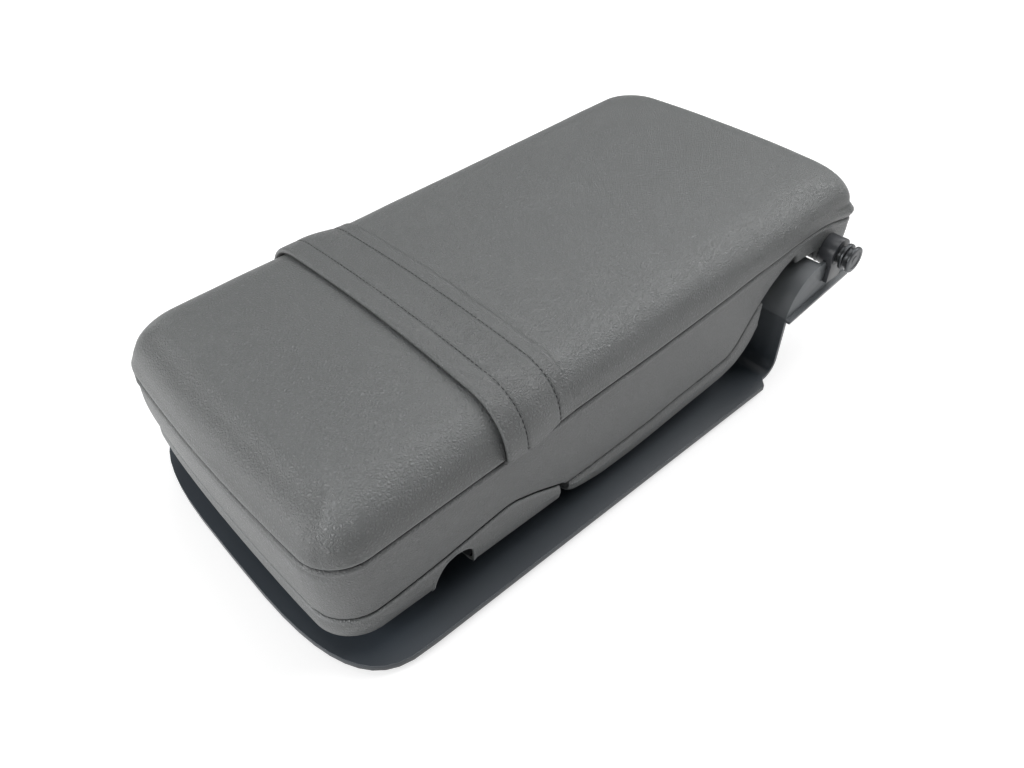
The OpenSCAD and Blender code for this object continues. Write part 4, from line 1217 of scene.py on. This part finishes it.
class ARMREST_OT_boxing(ArmrestOperator, bpy.types.Operator):
    """Build the leather boxing round the sides"""

    bl_idname = "armrest.boxing"
    bl_label = "Boxing"

    def execute(self, context):
        s = context.scene.armrest
        bore = turned("pivot_bore", [(x, BUSH_R - 1) for x in (-HALF_W - 8, HALF_W + 8)], 64)
        obj = cut(leather_boxing(s.leather, s.stage.seed), bore, LEATHER_SHARP)
        dressed(obj, "leather_side", "armrest", "leather_side", "side_band")
        return {"FINISHED"}


class ARMREST_OT_lid(ArmrestOperator, bpy.types.Operator):
    """Build the lid's leather with its finger notch"""

    bl_idname = "armrest.lid"
    bl_label = "Lid"

    def execute(self, context):
        cover = cut(lid_leather(), notch_cutter(), LEATHER_SHARP)
        obj = joined("leather_lid_cover", [cover, notch_bead()], LEATHER_SHARP)
        dressed(obj, "leather_side", "lid", "leather_side", "lid_cover")
        return {"FINISHED"}


class ARMREST_OT_pad(ArmrestOperator, bpy.types.Operator):
    """Build the padded elbow rest under the armrest"""

    bl_idname = "armrest.pad"
    bl_label = "Elbow pad"

    def execute(self, context):
        obj = elbow_pad(context.scene.armrest.stage.seed)
        dressed(obj, "leather_side", "armrest", "leather_side", "elbow_pad")
        return {"FINISHED"}


class ARMREST_OT_panel(ArmrestOperator, bpy.types.Operator):
    """Finish the moulded back panel, its clips and buffers"""

    bl_idname = "armrest.panel"
    bl_label = "Back panel"

    def execute(self, context):
        edge = context.scene.armrest.plastic.edge_round
        panel = paint_panel_light(finished("back_panel", "moulded_back_panel", edge, angle=50.0))
        dressed(panel, "panel", "panel", "panel_plastic", "back_panel")
        for node, name, bevel, finish, slot in (
                ("panel_clips", "moulded_panel_clips", 0.0004, "clip", "clip_plastic"),
                ("rubber_buffers", "moulded_buffers", 0.0006, "rubber", "buffer_rubber")):
            dressed(finished(node, name, bevel), finish, "panel", slot, node)
        return {"FINISHED"}


def stud_profile(x0):
    """Profile of a stud, as place along the axis and radius: its end in the shaft, a neck, a disc, a
    journal and a second disc with a dimple."""
    x1 = x0 + 3.2
    x2 = x1 + 2.4
    x3 = x2 + 3.0
    x4 = x3 + 2.4
    # Radii of the discs, the journal and the neck, and the rounding
    r, j, n, c = 9.25, 7.0, 6.0, 0.5
    return [
        (x0 - 12, 0.0), (x0 - 12, 2.6), (x0 - 11.6, 2.95), (x0, 2.95), (x0, n - 0.5), (x0 + 0.4, n),
        (x1 - 0.3, n), (x1, n + 0.3), (x1, r - c), (x1 + c * 0.3, r - c * 0.3), (x1 + c, r), (x2 - c, r),
        (x2 - c * 0.3, r - c * 0.3), (x2, r - c), (x2, j + 0.3), (x2 + 0.3, j), (x3 - 0.3, j),
        (x3, j + 0.3), (x3, r - c), (x3 + c * 0.3, r - c * 0.3), (x3 + c, r), (x4 - 0.7, r),
        (x4 - 0.25, r - 0.25), (x4, r - 0.8), (x4, 6.4), (x4 - 0.35, 6.1), (x4 - 0.35, 3.4),
        (x4 - 0.1, 3.1), (x4 - 0.1, 0.0)]


def turned(name, profile, sides, sharp=SHARP):
    """A shape turned round the pivot, from places on the X axis and radii."""
    turn = np.linspace(0, 2 * math.pi, sides + 1)[:-1]
    return shell(name, [[(x, PIVOT[1] + r * math.cos(a), PIVOT[2] + r * math.sin(a)) for a in turn]
                        for x, r in profile], sharp=sharp)


class ARMREST_OT_pivot(ArmrestOperator, bpy.types.Operator):
    """Finish the bushes and turn the pivot studs"""

    bl_idname = "armrest.pivot"
    bl_label = "Pivot"

    def execute(self, context):
        profile = stud_profile(frame_box("hinge_shaft")[1][0])
        for sign, side in ((1, "right"), (-1, "left")):
            bush = finished(f"pivot_bush_{side}", f"moulded_bush_{side}", 0.0005)
            dressed(bush, "bush", "panel", "bush_plastic", f"pivot_bush_{side}")
            mirrored = [(sign * x, max(r, 0.01)) for x, r in profile]
            stud = turned(f"turned_stud_{side}", mirrored, 72, sharp=30.0)
            dressed(stud, "dark_stud", "panel", "zinc_steel", f"pivot_stud_{side}")
            repaint("bush", f"thrust_washer_{side}")
        repaint("zinc", "hinge_shaft", "lid_hinge_pin", "lid_magnet")
        repaint("steel", "hinge_tube", "frame_loop", "frame_bracket_right", "frame_bracket_left",
                "strike_plate")
        return {"FINISHED"}


class ARMREST_OT_inside(ArmrestOperator, bpy.types.Operator):
    """Finish the carrier, the cup holder, the lid shell, the screws and the foam"""

    bl_idname = "armrest.inside"
    bl_label = "Inside"

    def execute(self, context):
        repaint("inner", "carrier", "cup_holder", "lid_shell")
        repaint("zinc", "carrier_screws")
        repaint("foam", "foam_core")
        return {"FINISHED"}


# Lamps as name, place, size and power in watts, the point they face, the camera's place and axes, and the
# floor's strength of plain white and half width in millimetres
LAMPS = (
    ("window", (0.6, 2.0, 1.8), (2.0, 1.4), 31), ("door", (-0.4, -2.0, 0.9), (1.2, 0.8), 30),
    ("ceiling", (0.1, 0.0, 3.0), (1.6, 1.6), 19), ("skylight", (-1.6, 1.3, 2.6), (2.2, 1.6), 29),
    ("spot", (0.9, 1.5, 2.6), (1.2, 0.9), 10), ("wall", (-2.0, -0.9, 0.8), (1.2, 0.8), 3.5))
LIT = (0, 0, 0.05)
CAMERA_AT = (0.3224, -0.30315, 0.3946)
CAMERA_AXES = ((0.6769, 0.7361, 0.0), (-0.4877, 0.4485, 0.7490), (0.5513, -0.5070, 0.6626))
WHITE = (1, 1, 1, 1)
GLOW, FLOOR = 1.6, 6000


def light_path(tree, name):
    """1 for rays of a kind, 0 for others."""
    return add_node(tree, "ShaderNodeLightPath", None, None, name)


def seen_directly(tree):
    """1 for what the camera and glass see, 0 for what lights the object or shows in its gloss."""
    return light_path(tree, "Is Camera Ray").most(light_path(tree, "Is Transmission Ray"))


def table_glow(tree, near, reach):
    """Share of plain white in the floor: little near the armrest, where its shadow lies, and more beyond.

    Gloss shows the floor only within the reach, as if it were a table in a darker room.
    """
    at = add_node(tree, "ShaderNodeNewGeometry", None, None, "Position")
    away = at.add("ShaderNodeVectorMath", {"operation": "LENGTH"}, {0: at}, "Value")
    gloss = light_path(tree, "Is Glossy Ray") * (1 - away.ramp(reach * 0.6, reach))
    return seen_directly(tree).most(gloss) * away.ramp(0.35, 0.95, near, 0.98)


def white_floor(s):
    """Large floor that holds the armrest's shadow near it and is plain white further off."""
    corners = [(x * FLOOR, y * FLOOR, 0) for x, y in ((-1, -1), (1, -1), (1, 1), (-1, 1))]
    floor = made("floor", corners, [(0, 1, 2, 3)])
    paint = new_material("white_floor")
    tree = paint.node_tree
    ground = add_node(tree, "ShaderNodeBsdfPrincipled", None, {
        "Base Color": rgba(s.floor_colour), "Roughness": 0.8, "Specular IOR Level": 0.2})
    glow = add_node(tree, "ShaderNodeEmission", None, {"Color": WHITE, "Strength": GLOW})
    blend = add_node(tree, "ShaderNodeMixShader", None,
                     {0: table_glow(tree, s.floor_glow, s.table), 1: ground, 2: glow})
    add_node(tree, "ShaderNodeOutputMaterial", None, {"Surface": blend})
    floor.data.materials.append(paint)


def white_room(s):
    """World that is white to the camera and dim to the armrest."""
    world = bpy.data.worlds.new("white_room")
    world.use_nodes = True
    tree = world.node_tree
    tree.nodes.clear()
    sky = add_node(tree, "ShaderNodeBackground", None,
                   {"Color": WHITE, "Strength": seen_directly(tree) * (1 - s.sky) + s.sky})
    add_node(tree, "ShaderNodeOutputWorld", None, {"Surface": sky})
    return world


class ARMREST_OT_stage(ArmrestOperator, bpy.types.Operator):
    """Set the floor, the light and the camera"""

    bl_idname = "armrest.stage"
    bl_label = "Stage"

    def execute(self, context):
        s = context.scene.armrest.stage
        context.scene.view_settings.view_transform = "Standard"
        white_floor(s)
        context.scene.world = white_room(s)
        for name, at, size, power in LAMPS:
            data = bpy.data.lights.new(name, "AREA")
            data.shape, (data.size, data.size_y), data.energy = "RECTANGLE", size, power * s.light
            lamp = linked(name, data)
            lamp.location = at
            lamp.rotation_euler = (Vector(LIT) - lamp.location).to_track_quat("-Z", "Y").to_euler()
        data = bpy.data.cameras.new("camera")
        data.lens, data.sensor_width, data.sensor_fit = s.lens, 36.0, "HORIZONTAL"
        camera = context.scene.camera = linked("camera", data)
        camera.matrix_world = Matrix.Translation(CAMERA_AT) @ Matrix(CAMERA_AXES).transposed().to_4x4()
        return {"FINISHED"}


STEPS = (ARMREST_OT_top, ARMREST_OT_band, ARMREST_OT_boxing, ARMREST_OT_lid, ARMREST_OT_pad,
         ARMREST_OT_panel, ARMREST_OT_pivot, ARMREST_OT_inside, ARMREST_OT_stage)


class ArmrestSettings(bpy.types.PropertyGroup):
    """All settings of the armrest."""

    leather: PointerProperty(type=LeatherSettings, description="Leather of the armrest")
    band: PointerProperty(type=BandSettings, description="Pull band round the crown")
    plastic: PointerProperty(type=PlasticSettings, description="Plastic and metal parts")
    stage: PointerProperty(type=StageSettings, description="Floor, light and camera")


class ARMREST_PT_sidebar(bpy.types.Panel):
    """Steps and settings of the armrest"""

    bl_idname = "ARMREST_PT_sidebar"
    bl_label = "Rear Seat Armrest"
    bl_space_type = "VIEW_3D"
    bl_region_type = "UI"
    bl_category = "Armrest"

    def draw(self, context):
        for step_class in STEPS:
            self.layout.operator(step_class.bl_idname)
        for group in ("leather", "band", "plastic", "stage"):
            box = self.layout.box()
            box.label(text=group.capitalize())
            settings = getattr(context.scene.armrest, group)
            for name in settings.__annotations__:
                box.prop(settings, name)


CLASSES = (LeatherSettings, BandSettings, PlasticSettings, StageSettings, ArmrestSettings, *STEPS,
           ARMREST_PT_sidebar)


def register():
    for c in CLASSES:
        bpy.utils.register_class(c)
    bpy.types.Scene.armrest = PointerProperty(type=ArmrestSettings)


def unregister():
    del bpy.types.Scene.armrest
    for c in reversed(CLASSES):
        bpy.utils.unregister_class(c)


def main():
    register()
    for step_class in STEPS:
        group, name = step_class.bl_idname.split(".")
        if getattr(getattr(bpy.ops, group), name)() != {"FINISHED"}:
            raise RuntimeError(f"{step_class.bl_label} didn't finish")


if __name__ == "__main__":
    main()
